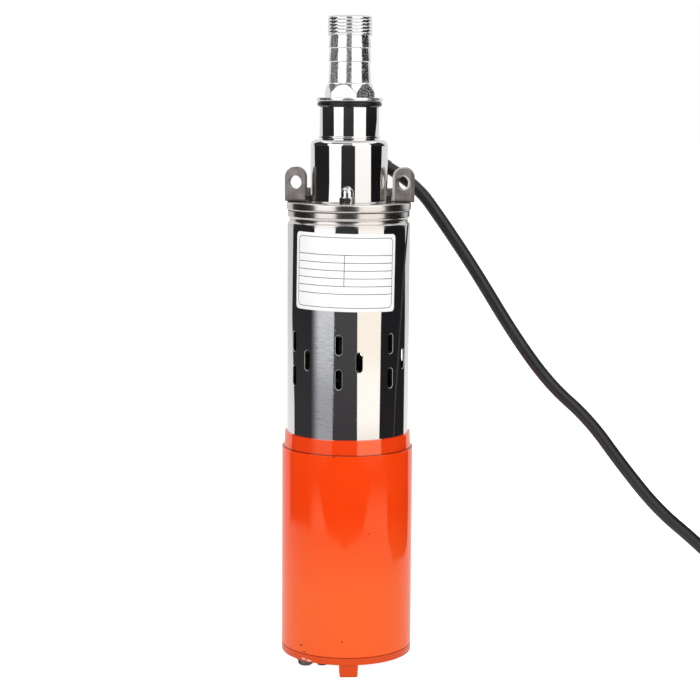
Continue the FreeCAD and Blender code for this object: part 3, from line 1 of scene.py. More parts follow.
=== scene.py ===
import json
import math

import bmesh
import bpy
from mathutils import Matrix, Vector


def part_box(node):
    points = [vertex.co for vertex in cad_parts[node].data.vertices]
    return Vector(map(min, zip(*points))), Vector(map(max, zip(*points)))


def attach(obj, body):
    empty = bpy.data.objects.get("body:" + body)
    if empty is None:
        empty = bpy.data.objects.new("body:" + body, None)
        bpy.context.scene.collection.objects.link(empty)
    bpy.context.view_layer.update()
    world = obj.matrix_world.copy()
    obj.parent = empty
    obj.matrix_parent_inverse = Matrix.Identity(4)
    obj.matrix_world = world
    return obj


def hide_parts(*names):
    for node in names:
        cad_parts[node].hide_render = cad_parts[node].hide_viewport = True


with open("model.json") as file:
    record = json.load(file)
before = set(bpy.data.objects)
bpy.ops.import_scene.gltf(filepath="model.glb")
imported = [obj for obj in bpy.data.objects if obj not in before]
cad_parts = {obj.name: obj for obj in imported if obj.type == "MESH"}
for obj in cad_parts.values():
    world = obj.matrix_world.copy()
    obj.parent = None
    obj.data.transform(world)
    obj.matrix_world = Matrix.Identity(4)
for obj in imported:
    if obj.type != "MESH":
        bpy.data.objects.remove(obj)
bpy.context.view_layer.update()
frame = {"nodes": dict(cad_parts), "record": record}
nodes = frame["nodes"]

MM = 0.001


# Camera: the photograph's viewing angle

CAMERA_LENS = 94.4
CAMERA_SENSOR = 36.0
CAMERA_CLIP = (0.01, 20.0)
CAMERA_PLACE = Vector((1.25, -1107.0, 341.45)) * MM
CAMERA_DOWN = math.radians(7.6)
CAMERA_ROLL = math.radians(0.394)


def add_object(name, data):
    """A new object that the scene shows."""
    piece = bpy.data.objects.new(name, data)
    bpy.context.collection.objects.link(piece)
    return piece


def make_camera():
    data = bpy.data.cameras.new("camera")
    data.lens = CAMERA_LENS
    data.sensor_width = CAMERA_SENSOR
    data.clip_start, data.clip_end = CAMERA_CLIP
    camera = add_object("camera", data)
    tilt = Matrix.Rotation(math.pi / 2 - CAMERA_DOWN, 4, "X")
    roll = Matrix.Rotation(CAMERA_ROLL, 4, "Z")
    camera.matrix_world = Matrix.Translation(CAMERA_PLACE) @ (tilt @ roll)
    bpy.context.scene.camera = camera


make_camera()


# Cable: its route from the boot's mouth to the ground, then the turns of its coil

CABLE_DIAMETER = 7.6
CORD_SMOOTHNESS = 6
CORD_STEPS = 10
CABLE_ROUTE = [
    (24.0, 28.9, 303.456), (41.017, 28.9, 293.631), (58.0, 26.0, 270.5), (79.0, 20.5, 239.5),
    (101.0, 15.0, 203.5), (124.0, 9.5, 172.0), (148.0, 4.0, 151.5), (169.0, -0.5, 123.0),
    (190.5, -5.5, 97.0), (214.0, -10.5, 78.0), (240.0, -16.0, 53.0), (266.0, -22.0, 29.0),
    (293.0, -28.0, 10.5), (321.0, -33.5, 3.8),
]
COIL_CENTRE = (352.0, 7.0)
COIL_RADIUS = 42.0
# Angles along the coil in degrees: its start and end, from point to point, and for a change of lane
COIL_START = -90
COIL_END = 1800
COIL_STEP = 22.5
COIL_SHIFT = 45
# Lanes of the coil in the order that the cable fills them: across (-1 in, 1 out) and layer
COIL_LANES = [(1, 0), (-1, 0), (-1, 1), (1, 1), (1, 2), (-1, 2)]


def coil_lane(angle):
    """Radius and height of the cable's middle at an angle counted along the coil."""
    across, layer = COIL_LANES[0]
    for turn, (next_across, next_layer) in enumerate(COIL_LANES[1:], start=1):
        end = COIL_START + 360 * turn - COIL_SHIFT * (turn - 1)
        share = min(max((angle - end + COIL_SHIFT) / COIL_SHIFT, 0.0), 1.0)
        share = share * share * (3 - 2 * share)
        across += (next_across - COIL_LANES[turn - 1][0]) * share
        layer += (next_layer - COIL_LANES[turn - 1][1]) * share
    radius = COIL_RADIUS + across * CABLE_DIAMETER / 2
    return radius, CABLE_DIAMETER * (layer + 0.5)


def coil_points():
    """Control points of the coil's turns, set out so that the spline keeps the lanes' radii."""
    step = math.radians(COIL_STEP)
    widen = 8 / (6 + 2 * math.cos(step))
    points = []
    for i in range(round((COIL_END - COIL_START) / COIL_STEP) + 1):
        angle = COIL_START + COIL_STEP * i
        radius, height = coil_lane(angle)
        x = COIL_CENTRE[0] + radius * widen * math.cos(math.radians(angle))
        y = COIL_CENTRE[1] + radius * widen * math.sin(math.radians(angle))
        points.append((x, y, height))
    return points


def spline_curve(name, points, diameter):
    """A round cord along one NURBS spline with the given control points, in millimetres."""
    curve = bpy.data.curves.new(name, "CURVE")
    curve.dimensions = "3D"
    # The points carry the cord's radius, because the curve's bounding box grows by it
    curve.bevel_depth = 1.0
    curve.bevel_resolution = CORD_SMOOTHNESS
    curve.use_fill_caps = True
    curve.resolution_u = CORD_STEPS
    spline = curve.splines.new("NURBS")
    spline.points.add(len(points) - 1)
    for point, place in zip(spline.points, points):
        point.co = (*(Vector(place) * MM), 1.0)
        point.radius = diameter / 2 * MM
    spline.order_u = 3
    spline.use_endpoint_u = True
    return add_object(name, curve)


def spline_length(piece):
    """Length in metres of a cord's own line."""
    depth = piece.data.bevel_depth
    piece.data.bevel_depth = 0
    bpy.context.view_layer.update()
    line = bpy.data.meshes.new_from_object(piece)
    piece.data.bevel_depth = depth
    corners = [vertex.co for vertex in line.vertices]
    return sum((b - a).length for a, b in zip(corners, corners[1:]))


def make_cable():
    """The supply cable from its boot to the bare end of its coil, in place of its CAD solids."""
    cable = spline_curve("supply_cable_run", CABLE_ROUTE + coil_points(), CABLE_DIAMETER)
    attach(cable, "pump")
    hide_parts("supply_cable", "cable_coil")
    spline_length(cable)
    return cable


cable = make_cable()


# Meshes

MERGE_DISTANCE = 1e-7


def dress(piece, *finishes):
    """Give a piece these materials and no others."""
    piece.data.materials.clear()
    for finish in finishes:
        piece.data.materials.append(finish)


def add_mesh(name, places, faces, smooth=math.radians(35)):
    """A mesh object from points in millimetres, shaded smooth below an angle."""
    mesh = bpy.data.meshes.new(name)
    mesh.from_pydata([Vector(place) * MM for place in places], [], faces)
    piece = add_object(name, mesh)
    joined = bmesh.new()
    joined.from_mesh(mesh)
    bmesh.ops.remove_doubles(joined, verts=joined.verts, dist=MERGE_DISTANCE)
    bmesh.ops.recalc_face_normals(joined, faces=joined.faces)
    joined.to_mesh(mesh)
    joined.free()
    mesh.shade_smooth()
    mesh.set_sharp_from_angle(angle=smooth)
    return piece


def surface(rows, closed=True):
    """Points, and quads between rows of the same length, which may be closed into loops."""
    count = len(rows[0])
    places = [place for row in rows for place in row]
    faces = []
    for first in range(0, (len(rows) - 1) * count, count):
        for c in range(count if closed else count - 1):
            d = (c + 1) % count
            faces.append((first + c, first + d, first + count + d, first + count + c))
    return places, faces


def between(a, b, share):
    """The point at a share of the way from one pair to another."""
    return (a[0] + (b[0] - a[0]) * share, a[1] + (b[1] - a[1]) * share)


def held(levels, reach=2.0, inset=0.06):
    """Levels with a point added near both ends of long walls, so that these are shaded flat."""
    made = [levels[0]]
    for low, high in zip(levels, levels[1:]):
        span = math.dist(low, high)
        if span > reach:
            made += [between(low, high, share) for share in (inset / span, 1 - inset / span)]
        made.append(high)
    return made


def turned_rows(levels, segments, middle=(0.0, 0.0)):
    """Rows about an upright axis. A level is a height and a radius, which may depend on angle."""
    rows = []
    for height, radius in levels:
        row = []
        for i in range(segments):
            angle = 2 * math.pi * i / segments
            out = radius(angle) if callable(radius) else radius
            x = middle[0] + out * math.cos(angle)
            y = middle[1] + out * math.sin(angle)
            row.append((x, y, height))
        rows.append(row)
    return rows


def stand_in(piece, node):
    """Let a steel piece ride on the pump's body in place of a CAD node."""
    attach(piece, "pump")
    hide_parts(node)
    return piece


def hex_radius(flats, turn, limit):
    """Radius of a hexagon as a function of angle, no larger than a limit."""

    def radius(angle):
        local = (angle - turn) % (math.pi / 3) - math.pi / 6
        return min(flats / 2 / math.cos(local), limit)

    return radius


def arc(middle, radius, start, end, steps=8):
    """Levels of a rounding: height and radius pairs along an arc, with angles in degrees."""
    levels = []
    for i in range(steps + 1):
        angle = math.radians(start + (end - start) * i / steps)
        height = middle[0] + radius * math.sin(angle)
        levels.append((height, middle[1] + radius * math.cos(angle)))
    return levels


# Pump tube: a rolled neck under its rim and suction slots in seven columns

TUBE_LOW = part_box("pump_tube")[0].z / MM
TUBE_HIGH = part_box("pump_tube")[1].z / MM
TUBE_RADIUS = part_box("pump_tube")[1].x / MM
TUBE_WALL = 1.0
NECK_DEPTH = 1.2
NECK_FOOT = 7.5
RIM_STEP = 0.2
TUBE_SEGMENTS = 288
TUBE_SMOOTH = math.radians(30)
SLOT_WIDTH = 4.0
SLOT_HEIGHT = 12.0
SLOT_CHAMFER = 0.27
SLOT_COLUMNS = 7
# Rows of slots: azimuth of the first in degrees, and height of their middle over the tube's foot
SLOT_GROUPS = [(-8.4, 36.3), (-8.4, 56.9), (10.6, 46.6)]
# Heights over the tube's foot that hold every slot
SLOT_ZONE = (25, 70)
# The slots' cutter reaches this far inside and outside the tube's surface
CUT_IN = 4
CUT_OUT = 0.6


def slot_cutter():
    """Prisms for all suction slots in one mesh. Azimuth counts from the front to the right."""
    places, faces = [], []
    steps = 10
    half = (SLOT_HEIGHT - SLOT_WIDTH) / 2
    depths = ((-CUT_IN, 0), (-SLOT_CHAMFER, 0), (CUT_OUT, CUT_OUT + SLOT_CHAMFER))
    for start, rise in SLOT_GROUPS:
        for column in range(SLOT_COLUMNS):
            turn = math.radians(start + 360 / SLOT_COLUMNS * column)
            rings = []
            for out, wider in depths:
                reach = SLOT_WIDTH / 2 + wider
                ring = []
                for end in (1, -1):
                    for i in range(steps + 1):
                        angle = math.pi * i / steps
                        across = end * reach * math.cos(angle)
                        up = end * (half + reach * math.sin(angle))
                        x = (TUBE_RADIUS + out) * math.sin(turn) + across * math.cos(turn)
                        y = -(TUBE_RADIUS + out) * math.cos(turn) + across * math.sin(turn)
                        ring.append((x, y, TUBE_LOW + rise + up))
                rings.append(ring)
            more, quads = surface(rings)
            size = len(rings[0])
            caps = [tuple(range(size)), tuple(range(3 * size - 1, 2 * size - 1, -1))]
            faces += [tuple(k + len(places) for k in face) for face in quads + caps]
            places += more
    return add_mesh("slot_cutter", places, faces)


def cut_away(piece, cutter):
    """Subtract a closed mesh from a piece, and remove the cutter."""
    modifier = piece.modifiers.new("slots", "BOOLEAN")
    modifier.operation = "DIFFERENCE"
    modifier.solver = "EXACT"
    modifier.object = cutter
    bpy.context.view_layer.update()
    result = piece.evaluated_get(bpy.context.evaluated_depsgraph_get())
    made = bpy.data.meshes.new_from_object(result)
    piece.modifiers.clear()
    piece.data = made
    bpy.data.objects.remove(cutter)


def outwardness(face):
    """1 where a face looks straight away from the axis, -1 where it looks at it."""
    middle = face.center
    outward = middle.x * face.normal.x + middle.y * face.normal.y
    return outward / math.hypot(middle.x, middle.y)


def keep_round(piece, radii, low, high):
    """Shade the faces on upright cylinders about the axis as round, however they are divided."""
    mesh = piece.data
    normals = []

    def on_cylinder(corner):
        size = math.hypot(corner.x, corner.y) / MM
        near = min(abs(size - radius) for radius in radii) < 0.02
        return near and low - 0.01 < corner.z / MM < high + 0.01

    for face in mesh.polygons:
        corners = [mesh.vertices[k].co for k in face.vertices]
        facing = outwardness(face)
        upright = abs(face.normal.z) < 0.02 and abs(facing) > 0.9
        kept = upright and all(on_cylinder(corner) for corner in corners)
        side = math.copysign(1, facing) if kept else 0
        normals += [Vector((corner.x, corner.y, 0)).normalized() * side for corner in corners]
    mesh.normals_split_custom_set(normals)


def mark_faces(piece):
    """Material slots of the tube: 0 outside, 1 inside and in the slots, 2 the slots' chamfers."""
    low, high = (TUBE_LOW + height for height in SLOT_ZONE)
    for face in piece.data.polygons:
        facing = outwardness(face)
        slotted = low < face.center.z / MM < high
        if facing < -0.9 or slotted and facing < 0.3:
            face.material_index = 1
        elif slotted and facing < 0.9:
            face.material_index = 2


def tube_levels():
    """Heights and radii round the tube's wall, from its foot up the outside and down the inside."""
    high = TUBE_HIGH
    neck = TUBE_RADIUS - NECK_DEPTH
    rim = TUBE_RADIUS - RIM_STEP
    outer = [
        (TUBE_LOW, TUBE_RADIUS),
        (high - NECK_FOOT, TUBE_RADIUS),
        (high - 7.1, TUBE_RADIUS - 0.08),
        (high - 6.6, neck + 0.6),
        (high - 6.1, neck + 0.12),
        (high - 5.6, neck),
        (high - 4.7, neck),
        (high - 4.2, neck + 0.1),
        (high - 3.7, neck + 0.5),
        (high - 3.2, rim - 0.08),
        (high - 2.8, rim),
        (high, rim),
    ]
    inner = [(height, radius - TUBE_WALL) for height, radius in reversed(outer)]
    return outer + inner + outer[:1]


def pump_tube():
    places, faces = surface(turned_rows(held(tube_levels()), TUBE_SEGMENTS))
    piece = add_mesh("suction_tube", places, faces, TUBE_SMOOTH)
    # Painted shade: the tube's inside and its slots' walls get the dark tube_inside steel
    dress(piece, *(materials[name] for name in ("tube_steel", "tube_inside", "slot_edge")))
    cut_away(piece, slot_cutter())
    piece.data.shade_smooth()
    piece.data.set_sharp_from_angle(angle=TUBE_SMOOTH)
    keep_round(piece, (TUBE_RADIUS, TUBE_RADIUS - TUBE_WALL), TUBE_LOW, TUBE_HIGH - NECK_FOOT)
    mark_faces(piece)
    stand_in(piece, "pump_tube")


# Discharge head: flanged deck, cylinder with a rounded shoulder, bead and socket

HEAD_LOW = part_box("head_gasket")[1].z / MM
HEAD_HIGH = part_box("discharge_head")[1].z / MM
DECK_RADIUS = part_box("discharge_head")[1].x / MM
DECK_HEIGHT = 5.0
DECK_ROUNDING = 1.3
HEAD_RADIUS = 23.15
HEAD_HEIGHT = 37.0
SHOULDER = 3.4
SOCKET_RADIUS = 17.8
BEAD_DEPTH = 0.68
HEAD_BORE = 19.25
LEDGE_RISE = 22.3
SOCKET_THREAD = 13.22
THROAT_RADIUS = 15.0
# Collar and skirt that reach down into the tube, and the gap between skirt and tube
COLLAR_DEPTH = 9
COLLAR_WALL = 3
SKIRT_DEPTH = 6
SKIRT_WALL = 1.3
SKIRT_GAP = 0.15


def discharge_head():
    low, high = HEAD_LOW, HEAD_HIGH
    deck = low + DECK_HEIGHT
    shoulder = deck + HEAD_HEIGHT
    ease = DECK_ROUNDING
    edge = DECK_RADIUS - ease
    ledge = low + LEDGE_RISE
    collar = HEAD_BORE + COLLAR_WALL
    skirt = TUBE_RADIUS - TUBE_WALL - NECK_DEPTH - SKIRT_GAP
    inside = skirt - SKIRT_WALL
    crown = HEAD_RADIUS - SHOULDER
    bead = shoulder + 0.8
    levels = [(low - COLLAR_DEPTH, HEAD_BORE), (low - COLLAR_DEPTH, collar), (low, collar)]
    levels += [(low, inside), (low - SKIRT_DEPTH, inside), (low - SKIRT_DEPTH, skirt), (low, skirt)]
    levels += arc((low + ease, edge), ease, -90, 0)
    levels += arc((deck - ease, edge), ease, 0, 90)
    levels += [
        (deck, edge - 0.4),
        (deck, HEAD_RADIUS + 1.4),
        (deck + 0.1, HEAD_RADIUS + 0.75),
        (deck + 0.4, HEAD_RADIUS + 0.25),
        (deck + 0.8, HEAD_RADIUS),
    ]
    levels += arc((shoulder - SHOULDER, crown), SHOULDER, 0, 90, 14)
    levels += [
        (shoulder, SOCKET_RADIUS),
        (bead, SOCKET_RADIUS),
        (bead + 0.05, SOCKET_RADIUS + 0.45),
        (bead + 0.4, SOCKET_RADIUS + BEAD_DEPTH),
        (bead + 1.0, SOCKET_RADIUS + BEAD_DEPTH),
        (bead + 1.35, SOCKET_RADIUS + 0.45),
        (bead + 1.4, SOCKET_RADIUS),
        (high - 0.3, SOCKET_RADIUS),
        (high, SOCKET_RADIUS - 0.3),
        (high, SOCKET_THREAD),
        (shoulder + 1, SOCKET_THREAD),
        (shoulder - 4, THROAT_RADIUS),
        (ledge, THROAT_RADIUS),
        (ledge, HEAD_BORE),
        (low - COLLAR_DEPTH, HEAD_BORE),
    ]
    places, faces = surface(turned_rows(held(levels), 240))
    return stand_in(add_mesh("head_shell", places, faces, math.radians(40)), "discharge_head")


# Outlet fitting: nose, flange, crowned hexagon, barbs and thread

FITTING_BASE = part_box("outlet_o_ring")[1].z / MM + 0.05
FITTING_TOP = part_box("outlet_fitting")[1].z / MM
FITTING_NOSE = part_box("outlet_fitting")[0].z / MM
BORE = 9.0
NOSE_RADIUS = 12.9
FLANGE_RADIUS = 19.7
FLANGE_HEIGHT = 2.3
HEX_FLATS = 27.0
HEX_HEIGHT = 8.7
HEX_TURN = math.radians(-16.0 - 90.0 + 30.0)
HEX_CROWN = 6.2
HEX_SHOULDER = 0.3
# Radius at the hexagon's foot as a share of its flats
HEX_FOOT = 0.57
HEX_CHAMFER = 0.6
RIDGE = 12.7
VALLEY = 12.1
BARBS = (12.3, 8.1, 7.5)
THREAD_RADIUS = 13.2
THREAD_DEPTH = 0.36
THREAD_PITCH = 1.93
THREAD_LEAD = 1.0
THREAD_LAND = 0.42
THREAD_ROWS = 14


def thread_radius(height, low, high):
    """Radius of a screw thread's surface at a height, as a function of angle."""

    def radius(angle):
        turn = (height - low) / THREAD_PITCH - angle / (2 * math.pi)
        flank = abs(2 * (turn % 1.0) - 1.0)
        groove = min(max((flank - THREAD_LAND) / (1 - THREAD_LAND), 0.0), 1.0)
        out = THREAD_RADIUS - THREAD_DEPTH * groove
        lead = THREAD_RADIUS - THREAD_LEAD + (high - height) * 1.1
        foot = THREAD_RADIUS - THREAD_DEPTH + (height - low) * 1.4
        return min(out, lead, foot)

    return radius


def outlet_fitting():
    base, foot = FITTING_BASE, FITTING_NOSE
    hex_low = base + FLANGE_HEIGHT
    hex_high = hex_low + HEX_HEIGHT
    levels = [
        (foot, BORE),
        (foot, NOSE_RADIUS - 1.0),
        (foot + 1.0, NOSE_RADIUS),
        (base, NOSE_RADIUS),
        (base, FLANGE_RADIUS - 0.9),
        (base + 0.1, FLANGE_RADIUS - 0.6),
        (base + 0.6, FLANGE_RADIUS - 0.1),
        (base + 0.8, FLANGE_RADIUS),
        (hex_low - 0.5, FLANGE_RADIUS),
        (hex_low - 0.15, FLANGE_RADIUS - 0.15),
        (hex_low, FLANGE_RADIUS - 0.5),
        (hex_low, hex_radius(HEX_FLATS, HEX_TURN, HEX_FLATS * HEX_FOOT)),
    ]
    corner = HEX_FLATS / 2 / math.cos(math.pi / 6)
    brow = HEX_FLATS / 2 - HEX_SHOULDER
    steps = 16
    for i in range(steps + 1):
        share = i / steps
        height = hex_high - HEX_CHAMFER - (HEX_CROWN - HEX_CHAMFER) * (1 - share)
        limit = brow + (corner - brow) * (1 - share)
        levels.append((height, hex_radius(HEX_FLATS, HEX_TURN, limit)))
    levels.append((hex_high, RIDGE))
    low = hex_high
    for rise in BARBS:
        high = low + rise
        levels += [(low + 0.5, RIDGE), (low + 0.7, RIDGE - 0.01), (high - 0.1, VALLEY)]
        low = high
    top = FITTING_TOP
    count = round((top - low) / THREAD_PITCH * THREAD_ROWS)
    for i in range(count + 1):
        height = low + (top - low) * i / count
        levels.append((height, thread_radius(height, low, top)))
    levels += [(top, BORE + 0.4), (top - 0.4, BORE), (foot, BORE)]
    places, faces = surface(turned_rows(levels, 216))
    return stand_in(add_mesh("hose_tail", places, faces, math.radians(28)), "outlet_fitting")


# Acorn nut on the front tie rod

NUT_FLATS = 8.0
NUT_HEIGHT = 4.0
NUT_TURN = math.radians(3.0)
NUT_DOME = 3.75
# The dome's straight part as a share of its height
NUT_STRAIGHT = 0.36


def acorn_nut():
    low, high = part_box("acorn_nut")
    middle = ((low.x + high.x) / 2 / MM, (low.y + high.y) / 2 / MM)
    base, top = low.z / MM, high.z / MM
    corner = NUT_FLATS / 2 / math.cos(math.pi / 6)
    levels = [
        (base, 2.6),
        (base, hex_radius(NUT_FLATS, NUT_TURN, corner - 0.35)),
        (base + 0.3, hex_radius(NUT_FLATS, NUT_TURN, corner)),
    ]
    steps = 6
    for i in range(steps + 1):
        share = i / steps
        limit = corner - (corner - NUT_FLATS / 2 + 0.1) * share**1.5
        height = base + NUT_HEIGHT - 1.0 * (1 - share)
        levels.append((height, hex_radius(NUT_FLATS, NUT_TURN, limit)))
    levels.append((base + NUT_HEIGHT, NUT_DOME))
    straight = base + NUT_HEIGHT + (top - base - NUT_HEIGHT) * NUT_STRAIGHT
    steps = 12
    for i in range(steps + 1):
        angle = math.pi / 2 * i / steps
        out = max(NUT_DOME * math.cos(angle), 0.02)
        levels.append((straight + (top - straight) * math.sin(angle), out))
    places, faces = surface(turned_rows(levels, 96, middle))
    return stand_in(add_mesh("domed_nut", places, faces, math.radians(28)), "acorn_nut")


# Rating plate: a bare white plate with its frame and rules

PLATE_LOW = 221.1
PLATE_HIGH = 266.9
PLATE_HALF = 33.25
PLATE_SHIFT = -2.6
PLATE_TILT = math.radians(-1.0)
PLATE_CORNER = 2.4
PLATE_LIFT = 0.14
# Closed rows of the plate's face, as shares of its outline's size
PLATE_ROWS = (0.998, 0.97, 0.9, 0.8, 0.7, 0.6, 0.5, 0.4, 0.3, 0.2, 0.1, 0.004)
LINE_WIDTH = 0.38
LINE_LIFT = 0.012
FRAME_INSET = 2.3
FRAME_CORNER = 2.6
# The first rule's depth under the frame, the rules' step and count, and the column line's place
FIRST_RULE = 10.2
RULE_STEP = 4.58
RULES = 6
COLUMN_RULES = 4
COLUMN_LINE = 0.1


def on_tube(along, height, lift):
    """A point on the tube's front, from its arc length to the right and its height."""
    middle = (PLATE_LOW + PLATE_HIGH) / 2
    rise = height - middle
    arc_length = PLATE_SHIFT + along * math.cos(PLATE_TILT) - rise * math.sin(PLATE_TILT)
    angle = arc_length / TUBE_RADIUS
    height = middle + along * math.sin(PLATE_TILT) + rise * math.cos(PLATE_TILT)
    out = TUBE_RADIUS + lift
    return (out * math.sin(angle), -out * math.cos(angle), height)


def rounded_box(half, low, high, corner, steps=8):
    """Closed path of a rectangle with round corners, as arc length and height pairs."""
    middles = [
        (half - corner, high - corner, 0),
        (-half + corner, high - corner, 90),
        (-half + corner, low + corner, 180),
        (half - corner, low + corner, 270),
    ]
    path = []
    for x, y, start in middles:
        for i in range(steps + 1):
            angle = math.radians(start + 90 * i / steps)
            path.append((x + corner * math.cos(angle), y + corner * math.sin(angle)))
    return path


def divided(path, reach, closed):
    """A path with points added so that no step is longer than a reach."""
    made = []
    count = len(path)
    for i in range(count if closed else count - 1):
        a, b = path[i], path[(i + 1) % count]
        parts = max(1, math.ceil(math.dist(a, b) / reach))
        made += [between(a, b, k / parts) for k in range(parts)]
    if not closed:
        made.append(path[-1])
    return made


def ribbon(path, width, lift, closed):
    """A thin printed line along a path on the plate, as points and faces."""
    path = divided(path, 1.0, closed)
    count = len(path)
    places = []
    for i, (x, y) in enumerate(path):
        before = path[i - 1] if closed or i else path[i]
        after = path[(i + 1) % count] if closed or i < count - 1 else path[i]
        dx, dy = after[0] - before[0], after[1] - before[1]
        size = math.hypot(dx, dy)
        nx, ny = -dy / size * width / 2, dx / size * width / 2
        places.append(on_tube(x + nx, y + ny, lift))
        places.append(on_tube(x - nx, y - ny, lift))
    faces = []
    for i in range(count if closed else count - 1):
        a, b = 2 * i, 2 * ((i + 1) % count)
        faces.append((a, a + 1, b + 1, b))
    return places, faces


def rating_plate():
    outline = rounded_box(PLATE_HALF, PLATE_LOW, PLATE_HIGH, PLATE_CORNER)
    edge = divided(outline, 0.8, True)
    middle = (PLATE_LOW + PLATE_HIGH) / 2
    rows = [[on_tube(x, y, lift) for x, y in edge] for lift in (0.01, PLATE_LIFT - 0.04)]
    for share in PLATE_ROWS:
        row = [(x * share, middle + (y - middle) * share) for x, y in edge]
        rows.append([on_tube(x, y, PLATE_LIFT) for x, y in row])
    plate = add_mesh("rating_plate", *surface(rows), math.radians(50))
    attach(plate, "pump")
    return plate


def plate_lines():
    half, low, high = PLATE_HALF - FRAME_INSET, PLATE_LOW + FRAME_INSET, PLATE_HIGH - FRAME_INSET
    first = high - FIRST_RULE
    paths = [(rounded_box(half, low, high, FRAME_CORNER), True)]
    for i in range(RULES):
        height = first - RULE_STEP * i
        paths.append(([(-half, height), (half, height)], False))
    column = [(COLUMN_LINE, first), (COLUMN_LINE, first - RULE_STEP * COLUMN_RULES)]
    paths.append((column, False))
    places, faces = [], []
    for path, closed in paths:
        more, quads = ribbon(path, LINE_WIDTH, PLATE_LIFT + LINE_LIFT, closed)
        faces += [tuple(k + len(places) for k in quad) for quad in quads]
        places += more
    lines = add_mesh("rating_plate_lines", places, faces)
    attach(lines, "pump")
    return lines


# Materials


def as_colour(tone):
    """A colour, which may be given as a grey."""
    return tone if isinstance(tone, tuple) else (tone,) * 3


class Nodes:
    """Short calls that add nodes to a material's or the world's tree."""

    def __init__(self, tree):
        self.tree = tree

    def feed(self, socket, value):
        """Link a socket to another node's output, or set it to a number, a vector or a colour."""
        if isinstance(value, bpy.types.NodeSocket):
            self.tree.links.new(value, socket)
        else:
            socket.default_value = (*as_colour(value), 1.0) if socket.type == "RGBA" else value

    def node(self, kind, fed, **settings):
        """A new node, with what feeds its inputs by name or number."""
        made = self.tree.nodes.new(kind)
        for name, value in settings.items():
            setattr(made, name, value)
        for name, value in fed.items():
            self.feed(made.inputs[name], value)
        return made

    def maths(self, operation, a, b=0.0):
        return self.node("ShaderNodeMath", {0: a, 1: b}, operation=operation).outputs[0]

    def times(self, a, b):
        return self.maths("MULTIPLY", a, b)

    def share(self, value, start, end, **settings):
        """0 where a value is at a start or before it, and 1 from an end on."""
        fed = {"Value": value, "From Min": start, "From Max": end}
        return self.node("ShaderNodeMapRange", fed, **settings).outputs[0]

    def seen(self, gloss):
        """1 for the camera and for glass, a share of it for gloss, and 0 for light."""
        path = self.node("ShaderNodeLightPath", {}).outputs
        dimmed = self.times(path["Is Glossy Ray"], gloss)
        either = self.maths("MAXIMUM", path["Is Camera Ray"], dimmed)
        return self.maths("MAXIMUM", either, path["Is Transmission Ray"])


